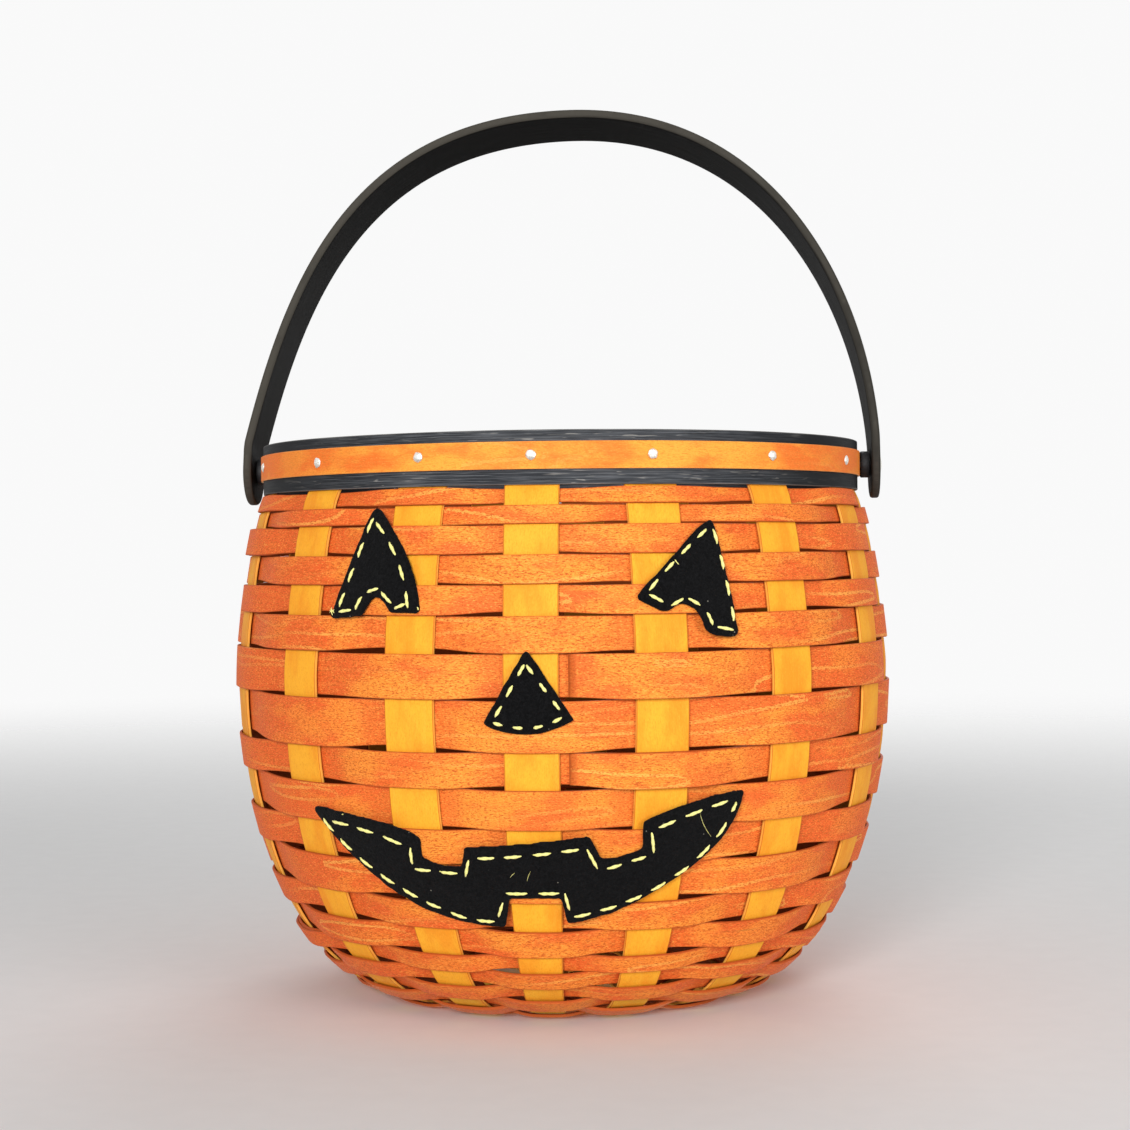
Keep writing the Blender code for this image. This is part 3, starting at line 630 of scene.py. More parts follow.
def black_wood(name, body, streak, worn, wear_share, wear_fade, inner_shade_share, side_shade_share, sheen, roughness):
    """Black stain with streaks along the grain, fine scratches, pale worn corners, and painted shade on the
    inner face and toward the sides.
    """
    wood = new_material(name)
    grain = wood.attribute("strip")
    run = wood.parts(grain)[0]
    edge_flag, _, face = wood.parts(wood.attribute("form"))
    back = wood.parts(wood.place())[1]
    fibre = wood.noise(grain, (0.05, 2.6, 1.9), 4.0, 0.62)
    cloud = wood.noise(grain, (0.03, 0.12, 1.1), 3.0, 0.6)
    scratch = wood.noise(grain, (0.10, 1.3, 4.7), 1.5, 0.5, 0.8)
    rubbed = edge_flag + (cloud - 0.5) * 0.9 - wood.span(run, -60.0, 190.0, 0.0, wear_fade)
    rubbed = wood.span(rubbed, 0.15, 0.95) * wood.span(fibre, 0.25, 0.55, 0.6, 1.0)
    inner_shade_colour, side_shade_colour = [tuple(share * part for part in body) for share in (0.35, 0.2)]
    colour = wood.layers(
        body,
        (wood.span(fibre, 0.42, 0.68) * 0.75, streak),
        (wood.span(cloud, 0.4, 0.8) * 0.35, streak),
        (wood.span(scratch, 0.62, 0.69) * wood.span(cloud, 0.42, 0.58) * 0.45, worn),
        # Painted shade on the inner face
        (wood.span(face, 0.0, -0.5) * inner_shade_share, inner_shade_colour),
        # Painted shade toward the left and right sides
        (wood.span(abs(back / RIM_RADIUS), 1.0, 0.5) * side_shade_share, side_shade_colour),
        (rubbed * wear_share, worn),
    )
    wood.bump(fibre + cloud * 0.6, STAIN_RELIEF, 0.6)
    dull = wood.span(fibre, 0.25, 0.75, roughness - 0.08, roughness + 0.08)
    return wood.finish(colour, dull, Specular_IOR_Level=sheen)


def bright_metal(name):
    """Hammered bright steel with dulled specks."""
    metal = new_material(name)
    stain = metal.noise(metal.place(), 1700.0, 3.0)
    colour = metal.layers((0.90, 0.88, 0.82), (metal.span(stain, 0.45, 0.75), (0.50, 0.44, 0.36)))
    metal.bump(metal.noise(metal.place(), 900.0), DENT_RELIEF, 0.6)
    return metal.finish(colour, metal.span(stain, 0.3, 0.7, 0.30, 0.50), Metallic=1.0)


def rubber(name):
    """Black washer with a moulded surface."""
    washer = new_material(name)
    grit = washer.noise(washer.place(), 1500.0, 3.0)
    colour = washer.layers((0.010, 0.010, 0.011), (grit, (0.030, 0.030, 0.032)))
    washer.bump(grit, FINE_RELIEF, 0.5)
    return washer.finish(colour, washer.span(grit, 0.2, 0.8, 0.5, 0.7))


def felt(name):
    """Black craft felt: matted fibres, a few pale lint specks and a soft nap."""
    cloth = new_material(name)
    place = cloth.place()
    mat = cloth.noise(place, 1100.0, 4.0, 0.7, 1.2)
    spots = cloth.value("TexVoronoi", "Distance", {"Vector": place, "Scale": 330.0})
    speck = (1.0 - cloth.span(spots, 0.045, 0.10)) * cloth.span(cloth.noise(place, 240.0, 0.0), 0.60, 0.66)
    colour = cloth.layers(
        (0.0022, 0.0022, 0.0025),
        (cloth.span(mat, 0.35, 0.8), (0.011, 0.011, 0.012)),
        (speck * 0.8, (0.25, 0.24, 0.20)),
    )
    cloth.bump(mat + cloth.noise(place, 160.0), FELT_RELIEF, 0.8)
    return cloth.finish(colour, 0.95, Specular_IOR_Level=0.04, Sheen_Weight=0.03, Sheen_Roughness=0.6)


def floss(name):
    """Pale yellow embroidery floss."""
    thread = new_material(name)
    strand = thread.noise(thread.place(), 2600.0, 3.0, 0.6)
    colour = thread.layers((0.80, 0.73, 0.15), (thread.span(strand, 0.25, 0.7), (0.99, 0.96, 0.40)))
    thread.bump(strand, FINE_RELIEF, 0.6)
    return thread.finish(colour, 0.62, Specular_IOR_Level=0.25, Sheen_Weight=0.2)


def make_paints():
    # The inside colours, and the weavers' dark edge colour, are painted shade
    orange = dict(
        body=(0.95, 0.300, 0.036), deep=(0.83, 0.118, 0.022), light=(1.0, 0.50, 0.100),
        speck=(0.56, 0.100, 0.014), edge=(0.46, 0.09, 0.016), corner=(0.50, 0.09, 0.016),
        inside=(0.25, 0.048, 0.009), figure_lines=5.0, figure_share=0.62, under_arm_shade_share=0.60,
        speck_share=0.72, side_shade_share=0.88, corner_share=0.45, inner_shade_share=0.92,
    )
    yellow = dict(
        body=(0.96, 0.440, 0.028), deep=(0.90, 0.30, 0.016), light=(1.0, 0.53, 0.07),
        speck=(0.80, 0.28, 0.016), edge=(0.90, 0.44, 0.07), corner=(0.58, 0.14, 0.012),
        inside=(0.28, 0.095, 0.009), figure_lines=4.0, figure_share=0.10, under_arm_shade_share=0.12,
        speck_share=0.32, side_shade_share=0.12, corner_share=0.85, inner_shade_share=0.9,
    )
    trim = dict(
        body=(0.96, 0.40, 0.048), deep=(0.86, 0.17, 0.022), light=(1.0, 0.50, 0.11),
        speck=(0.66, 0.18, 0.024), edge=(0.92, 0.52, 0.22), corner=(0.80, 0.30, 0.06),
        inside=(0.6, 0.2, 0.03), figure_lines=5.0, figure_share=0.30, under_arm_shade_share=0.0,
        speck_share=0.40, side_shade_share=0.70, corner_share=0.2, inner_shade_share=0.0,
    )
    # The hoops' streaks are grain, made pale enough to carry the sheen as well (painted reflection); painted
    # shade darkens them toward the sides
    hoops = dict(
        body=(0.019, 0.021, 0.025), streak=(0.138, 0.145, 0.157), worn=(0.42, 0.40, 0.37), wear_share=0.35,
        wear_fade=0.0, inner_shade_share=0.0, side_shade_share=0.94, sheen=0.10, roughness=0.60,
    )
    # The handle's inner face is darkened by painted shade
    bow = dict(
        body=(0.005, 0.005, 0.0045), streak=(0.019, 0.017, 0.014), worn=(0.088, 0.080, 0.066),
        wear_share=0.70, wear_fade=0.42, inner_shade_share=0.85, side_shade_share=0.0, sheen=0.08, roughness=0.68,
    )
    return {
        "weaver": dyed_wood("weaver_wood", **orange),
        "splint": dyed_wood("splint_wood", **yellow),
        "trim": dyed_wood("trim_wood", **trim),
        "rim": black_wood("rim_wood", **hoops),
        "handle": black_wood("handle_wood", **bow),
        "metal": bright_metal("bright_steel"),
        "spacer": rubber("spacer_rubber"),
        "felt": felt("black_felt"),
        "floss": floss("yellow_floss"),
    }


# Weave
def swing_shape(share):
    """From 1 at an arm to -1 at the next, flat while it crosses each arm."""
    wave = np.cos(np.pi * share)
    return wave * (1.5 - 0.5 * wave * wave)


def looseness(azimuth):
    """1 where the weave lies loose, round the front, and 0 where it is packed tight, round the back."""
    return np.clip(2 * np.cos(azimuth) + 0.4, 0, 1)


def seam(index, azimuth):
    """Wander and half width of the gap between two rows, at azimuths."""
    spread = wobble_round(3.5, index * 5.9 + 40, azimuth)
    wide = SEAM_HALF + SEAM_VARIATION * np.maximum(spread, -0.25)
    half = BACK_SEAM_HALF + (wide - BACK_SEAM_HALF) * looseness(azimuth)
    return SEAM_WANDER * wobble_round(1.6, index * 7.3, azimuth), half


def wedge(row, azimuth, lift):
    """How far a row's lower edge stands off the next row where it runs deep beside an arm."""
    size = WEDGE * np.clip(0.58 + 0.85 * wobble_round(2.9, row * 3.7 + 60, azimuth), 0.15, 1.0)
    return size * looseness(azimuth) * ((1 - lift) / 2) ** WEDGE_TAPER


def tuck(mark, azimuth, lift, way):
    """How far a row's deep part reaches behind the row beside it, where the wall slopes away from it."""
    radial, up = normal_at(mark)
    slope = min(STEEPEST_TUCK, max(0.0, way * up / max(radial, 0.1)))
    share = 1 - (1 - FRONT_TUCK) * looseness(azimuth)
    return 2 * WEAVE_SWING * slope * np.maximum(0, -lift) * share


def weaver_path(row):
    """Azimuth, offset from the arms' middle surface and lift, from the strip's start round to its end."""
    start = lap_start(row)
    middle = (STATIONS[row] + STATIONS[row + 1]) / 2
    on_base = at(STATIONS[row + 1])[1] + normal_at(middle)[1] * (WEAVE_FACE + LAP_OFFSET) < 0
    lap_arms = 0 if on_base else LAP_ARMS
    radius = at(middle)[0]
    reach = (arm_width(STATIONS[row]) / 2 + CROSSING_MARGIN) / radius
    last = ARM_COUNT + lap_arms
    crossings = []
    turn = ARM_AZIMUTHS[start]
    for visit in range(last + 1):
        arm = (start - visit) % ARM_COUNT
        outside = is_outside(row, arm)
        offset = WEAVE_SWING if outside else -WEAVE_SWING
        if visit < max(lap_arms, 1) and not outside:
            offset -= LAP_RISE
        if visit >= ARM_COUNT and (outside or (visit == last and not on_base)):
            offset += LAP_RISE
        if visit:
            turn -= (ARM_AZIMUTHS[(arm + 1) % ARM_COUNT] - ARM_AZIMUTHS[arm]) % math.tau
        crossings.append((turn, offset, 1.0 if outside else -1.0))
    crossings = np.array(crossings)
    share = np.arange(STEPS_BETWEEN_ARMS) / STEPS_BETWEEN_ARMS
    blend = (1 - swing_shape(share)) / 2
    steps = crossings[:-1, None] + np.diff(crossings, axis=0)[:, None] * beside(share, blend, blend)
    path = np.vstack([crossings[0] + (reach, 0, 0), steps.reshape(-1, 3)])
    if on_base:
        return np.vstack([path, crossings[-1], crossings[-1] - (reach - LAP_SETBACK / radius, 0, 0)])
    return path[path[:, 0] >= crossings[-1, 0] + reach]


def make_weavers(paints):
    for row in range(ROW_COUNT):
        azimuth, offset, lift = weaver_path(row).T
        wander_above, half_above = seam(row, azimuth)
        wander_below, half_below = seam(row + 1, azimuth)
        above = tuck(STATIONS[row], azimuth, lift, 1) * (1.0 if row else TOP_ROW_TUCK)
        below = tuck(STATIONS[row + 1], azimuth, lift, -1) if row + 1 < ROW_COUNT else 0.0
        upper = at(STATIONS[row] + wander_above + half_above - above)
        lower = at(STATIONS[row + 1] + wander_below - half_below - wedge(row, azimuth, lift) + below)
        middle = at((STATIONS[row] + STATIONS[row + 1]) / 2)
        normal = square_to(lower - upper)
        bulge = ((middle - (upper + lower) / 2) * normal).sum(axis=1)
        shift = normal * (offset + ROW_BULGE * bulge)[:, None]
        first, second = around(upper + shift, azimuth), around(lower + shift, azimuth)
        obj = strip(f"weave_row_{row + 1:02d}", first, second, STOCK, row + 1, around(normal, azimuth), lift,
                    cup=ROW_CUP * bulge, ragged=ROW_RAGGED)
        dress(obj, paints["weaver"], "weaver_orange", "basket", f"weaver_{row + 1:02d}")


def arm_line(splint, side):
    """Middle points, half widths, normals and lift of one arm, from its tip to the middle of the base."""
    inner = PROFILE_LENGTH - HUB_RADIUS
    below_rim = np.arange(RIM_BAND_WIDTH + ARM_FIRST_STEP, inner, ARM_STEP)
    marks = np.array([*ARM_TIP_MARKS, *below_rim, inner])
    arm = splint + (0 if side > 0 else len(SPLINT_AZIMUTHS))
    found = np.searchsorted(STATIONS, marks) - 1
    row = np.clip(found, 0, ROW_COUNT - 1)
    share = (marks - STATIONS[row]) / (STATIONS[row + 1] - STATIONS[row])
    wave = np.sin(np.pi * share) * np.where(is_outside(row, arm), -1, 1)
    lift = np.where(found == row, wave, 0.0)
    left = PROFILE_LENGTH - marks
    climb = np.clip((INNER_ROW_RADIUS - left) / (INNER_ROW_RADIUS - HUB_RADIUS), 0, 1)
    rise = splint * HUB_STEP * climb * climb * (3 - 2 * climb)
    fade = np.clip((left - INNER_ROW_RADIUS) / BASE_FADE, 0, 1)
    normals = normal_at(marks)
    points = at(marks) + normals * (ARM_SWING * lift * fade)[:, None] + beside(0, rise)
    return points, arm_width(marks) / 2, normals, lift


def make_splints(paints):
    """Each splint is two arms in one strip, bent a little across its width as the weave pulls it round."""
    for splint, azimuth in enumerate(SPLINT_AZIMUTHS):
        arms = []
        for side, turn in ((1, azimuth), (-1, azimuth + math.pi)):
            points, half_width, normals, lift = arm_line(splint, side)
            radius = np.maximum(points[:, 0], 1 * MM)
            sag = ARM_CUP * half_width ** 2 / (2 * radius) * np.maximum(normals[:, 0], 0)
            base = around(points - normals * sag[:, None], turn)
            reach = side * half_width[:, None] * np.array((math.cos(turn), math.sin(turn), 0))
            rows = (base - reach, base + reach, around(normals, turn), lift, sag)
            arms.append([values[::side] for values in rows])
        first, second, outward, lift, sag = [np.concatenate(values) for values in zip(*arms)]
        ident = FIRST_ARM_IDENT + splint
        obj = strip(f"arm_strip_{splint + 1:02d}", first, second, STOCK, ident, outward, lift,
                    cup=sag, ragged=ARM_RAGGED)
        dress(obj, paints["splint"], "splint_yellow", "basket", f"splint_{splint + 1:02d}")


# Rim
HOOP_STEPS = 420
HOOP_WAVER = 0.12 * MM
HOOP_SWELL = 0.14 * MM
HOOP_ROUNDING = 0.32 * MM
HOOP_LAP = 26 * MM
TRIM_LAP = 24 * MM
TRIM_ROUNDING = 0.18 * MM
TRIM_STAND = 0.04 * MM
SHAVED_END = 0.16 * MM
LAP_GAP = 0.02 * MM


def hoop(name, node, paint, slot, heights, faces, lap, lap_place, ident, rounding):
    """A bent band whose two ends are shaved thin and lapped at the back."""
    inner, outer = [RIM_RADIUS + face for face in faces]
    lap_turn = 2 * lap / (inner + outer)
    begin = math.pi - 0.5 * lap_turn + lap_place
    azimuth = np.linspace(begin, begin - math.tau - lap_turn, HOOP_STEPS)
    under = np.clip((begin - azimuth) / lap_turn, 0.0, 1.0)
    over = np.clip((begin - math.tau - azimuth) / lap_turn, 0.0, 1.0)
    shaved = outer - inner - SHAVED_END
    inside = inner + np.where(over > 0, SHAVED_END + shaved * over + LAP_GAP, 0.0)
    outside = np.where(over > 0, outer + SHAVED_END + LAP_GAP, inner + SHAVED_END + shaved * under)
    waver = HOOP_WAVER * wobble_round(1.5, ident, azimuth)
    low, high = [around(beside((inside + outside) / 2, height + waver), azimuth) for height in heights]
    outward = around(np.array((1, 0)), azimuth)
    obj = strip(name, high, low, outside - inside, ident, outward, 0.0, rounding=rounding)
    dress(obj, paint, slot, "basket", node)


def make_rim(paints):
    band = (NECK_HEIGHT, RIM_HEIGHT)
    trim = (TRIM_HEIGHT - TRIM_WIDTH / 2, TRIM_HEIGHT + TRIM_WIDTH / 2)
    arm_side = ARM_FACE + CLEARANCE
    band_face = BAND_FACE + HOOP_SWELL
    hoop("rim_hoop_outer", "rim_band_outer", paints["rim"], "rim_black", band,
         (arm_side, band_face), HOOP_LAP, 0.35, 60, HOOP_ROUNDING)
    hoop("rim_hoop_inner", "rim_band_inner", paints["rim"], "rim_black", band,
         (-BAND_FACE, -arm_side - HOOP_SWELL), HOOP_LAP, 0.9, 61, HOOP_ROUNDING)
    hoop("rim_trim_strip", "rim_trim", paints["trim"], "trim_orange", trim,
         (band_face + TRIM_STAND, TRIM_FACE), TRIM_LAP, 0.9, 62, TRIM_ROUNDING)


# Tacks and pivots
TACK_RADIUS = 1.72 * MM
TACK_RADIUS_SPREAD = 0.16 * MM
TACK_RISE = 0.62 * MM
TACK_EDGE = 0.16 * MM
TACK_LEAN = 0.10
TACK_WANDER = 0.35 * MM
TACK_UNEVEN = 0.13
TACK_STAND = 0.05 * MM
TACK_SHANK = ((0.5 * MM, 0.1 * MM), (0.35 * MM, 0.35 * MM), (0.0, 0.5 * MM))
BORE_EASE = 0.1 * MM
WASHER_EASE = 0.35 * MM
HEAD_STAND = 0.12 * MM
HEAD_EDGE = 0.2 * MM
TAIL_SINK = 0.05 * MM


def lathe(name, profile, steps, matrix, uneven=0.0, seed=0.0):
    """A turned solid from (radius, height) points; a point on the axis closes it."""
    vertices, rings = [], []
    for radius, height in profile:
        ring = []
        for step in range(steps if radius > 1e-9 else 1):
            turn = math.tau * step / steps
            grow = 1 + uneven * wobble(2 * math.cos(turn) + seed, 2 * math.sin(turn), height * 900 + seed)
            ring.append(len(vertices))
            vertices.append(Vector((radius * grow * math.cos(turn), radius * grow * math.sin(turn), height)))
        rings.append(ring)
    faces = []
    for upper, lower in zip(rings, rings[1:]):
        for step in range(steps):
            following = (step + 1) % steps
            if len(upper) == 1:
                faces.append((upper[0], lower[step], lower[following]))
            elif len(lower) == 1:
                faces.append((upper[step], lower[0], upper[following]))
            else:
                faces.append((upper[step], lower[step], lower[following], upper[following]))
    obj = link(name, [matrix @ vertex for vertex in vertices], faces)
    edit_mesh(obj)
    return obj


def dome(radius, rise, base, steps):
    """Section of a low dome over its base, from the top down, as (radius, height) points."""
    sphere = (radius * radius + rise * rise) / (2 * rise)
    turns = np.linspace(0, math.asin(radius / sphere), steps + 1)
    return [(sphere * math.sin(turn), base + rise - sphere * (1 - math.cos(turn))) for turn in turns]


def make_tacks(paints):
    """Hammered tack heads, each a little out of round, with their pointed shanks reaching through to the
    inside.
    """
    arms = [arm for arm in range(ARM_COUNT) if arm % len(SPLINT_AZIMUTHS) != PIVOT_SPLINT]
    seat = TRIM_FACE + TACK_STAND
    shank = [(TACK_SHANK[0][0], seat)] + [(radius, -BAND_FACE - depth) for radius, depth in TACK_SHANK]
    for number, arm in enumerate(arms):
        radius = TACK_RADIUS + TACK_RADIUS_SPREAD * wobble(number * 1.7, 3.3, 0.5)
        profile = dome(radius, TACK_RISE, seat + TACK_EDGE, 6) + [(radius, seat)] + shank
        lean = Matrix.Rotation(TACK_LEAN * wobble(number * 2.9, 1.1, 7.7), 4, "X")
        lean = lean @ Matrix.Rotation(TACK_LEAN * wobble(number * 3.7, 5.1, 2.7), 4, "Y")
        height = TRIM_HEIGHT + TACK_WANDER * wobble(number * 5.3, 0.2, 4.1)
        matrix = facing(ARM_AZIMUTHS[arm], RIM_RADIUS, height) @ lean
        obj = lathe(f"tack_head_{number + 1:02d}", profile, 26, matrix, uneven=TACK_UNEVEN, seed=number * 3.1)
        dress(obj, paints["metal"], "tack_steel", "basket", f"tack_{number + 1:02d}")


def make_pivots(paints):
    bore, top, seat, ease = RIVET_RADIUS + BORE_EASE, SPACER_SEAT + SPACER_THICKNESS, SPACER_SEAT, WASHER_EASE
    ring = [(bore, top), (SPACER_RADIUS - ease, top), (SPACER_RADIUS, top - ease),
            (SPACER_RADIUS, seat + ease), (SPACER_RADIUS - ease, seat), (bore, seat), (bore, top)]
    head_seat, tail_seat = LEG_OUTER + HEAD_STAND, BAND_INNER - TAIL_SINK
    head = dome(RIVET_HEAD_RADIUS, RIVET_HEAD_RISE, head_seat + HEAD_EDGE, 8)
    head.append((RIVET_HEAD_RADIUS, head_seat))
    tail = [(radius, 2 * tail_seat - height)
            for radius, height in dome(RIVET_TAIL_RADIUS, RIVET_TAIL_RISE, tail_seat, 6)[::-1]]
    pin = head + [(RIVET_RADIUS, head_seat), (RIVET_RADIUS, tail_seat)] + tail
    for side, label in ((-1, "left"), (1, "right")):
        matrix = Matrix.Translation((0, 0, TRIM_HEIGHT)) @ Matrix.Rotation(side * math.pi / 2, 4, "Y")
        spacer = lathe(f"pivot_washer_{label}", ring, 56, matrix)
        dress(spacer, paints["spacer"], "spacer_black", "basket", f"pivot_spacer_{label}")
        rivet = lathe(f"pivot_pin_{label}", pin, 44, matrix, uneven=0.02, seed=side)
        dress(rivet, paints["metal"], "rivet_steel", "basket", f"pivot_rivet_{label}")


# Handle
HANDLE_ROUNDING = 0.85 * MM
HANDLE_HOLD = 1.0 * MM
WELD_DISTANCE = 0.01 * MM
SLIVER = 0.005 * MM
HANDLE_IDENT = 70
TAIL_SPARE = 2 * MM
BEND_POINTS = 90
LEG_POINTS = 12
RUN_STEPS = 171
TIP_STEPS = 16
HANDLE_BORE_EASE = 0.15 * MM
BORE_SPARE = 4 * MM


def handle_half(side, lean_in, pull):
    """Middle line of the handle from its crown past one leg's tip, as (across, up) from the pivot."""
    crown = Vector((HANDLE_CROWN_SHIFT, HANDLE_RISE - HANDLE_THICKNESS / 2))
    crown_pull = crown + Vector((side * pull, 0))
    shoulder = Vector((side * (LEG_MIDDLE - lean_in), HANDLE_SHOULDER))
    leg = Vector((side * LEG_MIDDLE, HANDLE_STRAIGHT))
    half = [tuple(point) for point in interpolate_bezier(crown, crown_pull, shoulder, leg, BEND_POINTS)]
    heights = np.linspace(HANDLE_STRAIGHT, -HANDLE_TAIL - TAIL_SPARE, LEG_POINTS)[1:]
    return half + [(side * LEG_MIDDLE, height) for height in heights]


def handle_faces(count, depth):
    """Faces between the two halves' grids of vertices, which meet along both broad faces."""
    halves = np.arange(2 * count * depth).reshape(2, count, depth).tolist()
    faces = []
    for station in range(count - 1):
        spans = [(half[station], half[station + 1]) for half in halves]
        for ring in range(depth - 1):
            faces += [(one[ring], two[ring], two[ring + 1], one[ring + 1]) for one, two in spans]
        for ring in (0, -1):
            (one, two), (other_one, other_two) = spans
            faces.append((one[ring], two[ring], other_two[ring], other_one[ring]))
    return faces


def make_handle(paints):
    """A bent strip with round ends and corners worn by the hand."""
    left, right = map(handle_half, (-1, 1), HANDLE_LEANS_IN, HANDLE_CROWN_PULLS)
    path = np.array(left[:0:-1] + right)
    marks = run_marks(path)
    marks -= marks[-1] / 2
    round_radius = HANDLE_WIDTH / 2
    half_thick = HANDLE_THICKNESS / 2
    straight = marks[-1] - TAIL_SPARE - round_radius

    # Stations along the strip, and rings over one half of its section
    tips = np.linspace(0, math.pi / 2, TIP_STEPS + 1)[1:]
    stations = [(-straight, -turn) for turn in tips[::-1]]
    stations += [(run, 0.0) for run in np.linspace(-straight, straight, RUN_STEPS)]
    stations += [(straight, turn) for turn in tips]
    corner = [(HANDLE_ROUNDING * (1 - math.sin(turn)), half_thick - HANDLE_ROUNDING * (1 - math.cos(turn)))
              for turn in (0, math.pi / 6, math.pi / 3, math.pi / 2)]
    upper = [(HANDLE_ROUNDING + HANDLE_HOLD, half_thick)] + corner
    inset, height = np.array(upper + [(inset, -height) for inset, height in upper[::-1]]).T
    start, turn = np.array(stations).T[:, :, None]
    run = start + (round_radius - inset) * np.sin(turn)
    reach = (round_radius - inset) * np.cos(turn)
    ahead, behind = [point_on(path, marks, run + step) for step in (1 * MM, -1 * MM)]
    spot = point_on(path, marks, run) + square_to(ahead - behind) * height[:, None]
    edge = np.where(inset < HANDLE_ROUNDING * 0.9, 1.0, 0.0)
    own_grain = np.where(abs(height) < half_thick * 0.6, 40 * edge, 0)
    face = np.where(height > 0, 1.0, -1.0)
    sides = [side * reach for side in (1, -1)]
    vertices = np.array([beside(spot[..., 0], side, spot[..., 1]) for side in sides])
    obj = link("handle_strip", vertices.reshape(-1, 3), handle_faces(*run.shape))
    add_vectors(obj, "strip", [beside(run / MM, side / MM + own_grain, HANDLE_IDENT) for side in sides])
    add_vectors(obj, "form", [beside(edge + 0 * run, 0.0, face)] * 2)

    def weld(bm):
        bmesh.ops.remove_doubles(bm, verts=bm.verts, dist=WELD_DISTANCE)
        bmesh.ops.dissolve_degenerate(bm, dist=SLIVER, edges=bm.edges)

    def bore_through(bm):
        radius = RIVET_RADIUS + HANDLE_BORE_EASE
        bmesh.ops.create_cone(bm, cap_ends=True, segments=40, radius1=radius, radius2=radius,
                              depth=2 * (LEG_OUTER + BORE_SPARE), matrix=Matrix.Rotation(math.pi / 2, 4, "Y"))

    edit_mesh(obj, weld)
    bore = link("handle_bore", [], [])
    edit_mesh(bore, bore_through)
    drill = obj.modifiers.new("bore", "BOOLEAN")
    drill.operation = "DIFFERENCE"
    drill.object = bore
    drill.solver = "EXACT"
    apply_modifiers(obj)
    bpy.data.objects.remove(bore)
    obj.data.transform(Matrix.Translation((0, 0, TRIM_HEIGHT)) @ Matrix.Rotation(-HANDLE_REST_LEAN, 4, "X"))
    dress(obj, paints["handle"], "handle_black", "handle", "handle")


# Felt face
FELT_LEVEL = 2.1 * MM
FELT_VOXEL = 0.42 * MM
FELT_STEP = 0.7 * MM
FIRST_FELT_SEED = 11.0
FELT_SEED_STEP = 17
CURVE_STEPS = 12
SCISSOR_WAVERS = ((260, 0.30 * MM), (1100, 0.12 * MM))
FELT_SWELLS = ((0.22 * MM, 55, 2.0), (0.10 * MM, 170, 8.0))
STITCH_GAP = 2.9 * MM
STITCH_RADIUS = 0.50 * MM
STITCH_UNEVEN = 0.35 * MM
STITCH_STEPS = 18
THREAD_SIDES = 12
THREAD_TIP = 0.16
THREAD_FLATNESS = 0.8
PLY_DEPTH = 0.16
PLY_TURN = 1.15 / MM
BEND_STEPS = 25


def felt_outline(outline, seed):
    """Outline in metres with its bends drawn, its long edges divided and the small waver of scissors."""
    points = []
    for entry in outline:
        end = Vector(entry[-2:]) * MM
        if len(entry) == 4:
            start, control = points[-1], Vector(entry[:2]) * MM
            for step in range(1, CURVE_STEPS):
                share = step / CURVE_STEPS
                points.append(start.lerp(control, share).lerp(control.lerp(end, share), share))
        points.append(end)
    dense = []
    for start, end in zip(points, points[1:] + points[:1]):
        pieces = max(1, round((end - start).length / FELT_STEP))
        dense += [start.lerp(end, step / pieces) for step in range(pieces)]
    wavered = []
    for index, point in enumerate(dense):
        soft = (dense[index - 1] + point + dense[(index + 1) % len(dense)]) / 3
        for pitch, depth in SCISSOR_WAVERS:
            soft += depth * Vector([wobble(point.x * pitch, point.y * pitch, seed + way) for way in (0, 9)])
        wavered.append(soft)
    return wavered


def on_weave(across, up, level):
    """World position of a point of the flat face layout, at a level over the arms' middle surface."""
    mark = FACE_DROP - up
    return around(at(mark) + normal_at(mark) * level, across / BELLY_RADIUS)


def felt_relief(across, up):
    """Small rises and dips of the felt, which don't follow the weave under it."""
    return sum(depth * wobble(across * pitch, up * pitch, level) for depth, pitch, level in FELT_SWELLS)


def polygon_area(points):
    return abs(sum(start.cross(end) for start, end in zip(points, points[1:] + points[:1]))) / 2


def make_felt_patch(name, outline, seed, paints):
    """A patch cut flat, given its thickness, and laid on the weave with its stitches."""
    points = felt_outline(outline, seed)

    def cut_out(bm):
        face = bm.faces.new([bm.verts.new((point.x, point.y, 0)) for point in points])
        made = bmesh.ops.extrude_face_region(bm, geom=[face])
        for vert in [item for item in made["geom"] if isinstance(item, bmesh.types.BMVert)]:
            vert.co.z = FELT_THICKNESS

    obj = link(name + "_patch", [], [])
    edit_mesh(obj, cut_out)
    remesh = obj.modifiers.new("even", "REMESH")
    remesh.mode = "VOXEL"
    remesh.voxel_size = FELT_VOXEL
    smooth = obj.modifiers.new("soften", "SMOOTH")
    smooth.factor = 0.5
    smooth.iterations = 3
    apply_modifiers(obj)
    for vertex in obj.data.vertices:
        across, up, height = vertex.co
        vertex.co = on_weave(across, up, FELT_LEVEL + height + felt_relief(across, up))
    dress(obj, paints["felt"], "felt_black", "basket", name)
    stitches = make_stitches(name, seed, paints)
    spans = [[point[axis] for point in points] for axis in (0, 1)]
    flat = tuple(max(span) - min(span) for span in spans)
    top, bottom = FACE_DROP - max(spans[1]), FACE_DROP - min(spans[1])
    rows = [row for row in range(ROW_COUNT) if STATIONS[row + 1] > top and STATIONS[row] < bottom]
    max(polygon_area(points), 0.3 * flat[0] * flat[1])


def bent_line(ends):
    """Points along a line from the first to the last of two or three ends; the middle one bends it."""
    ends = [np.array(end) * MM for end in ends]
    if len(ends) == 2:
        ends.insert(1, (ends[0] + ends[1]) / 2)
    share = np.linspace(0, 1, BEND_STEPS)[:, None]
    return (1 - share) ** 2 * ends[0] + 2 * share * (1 - share) * ends[1] + share ** 2 * ends[2]


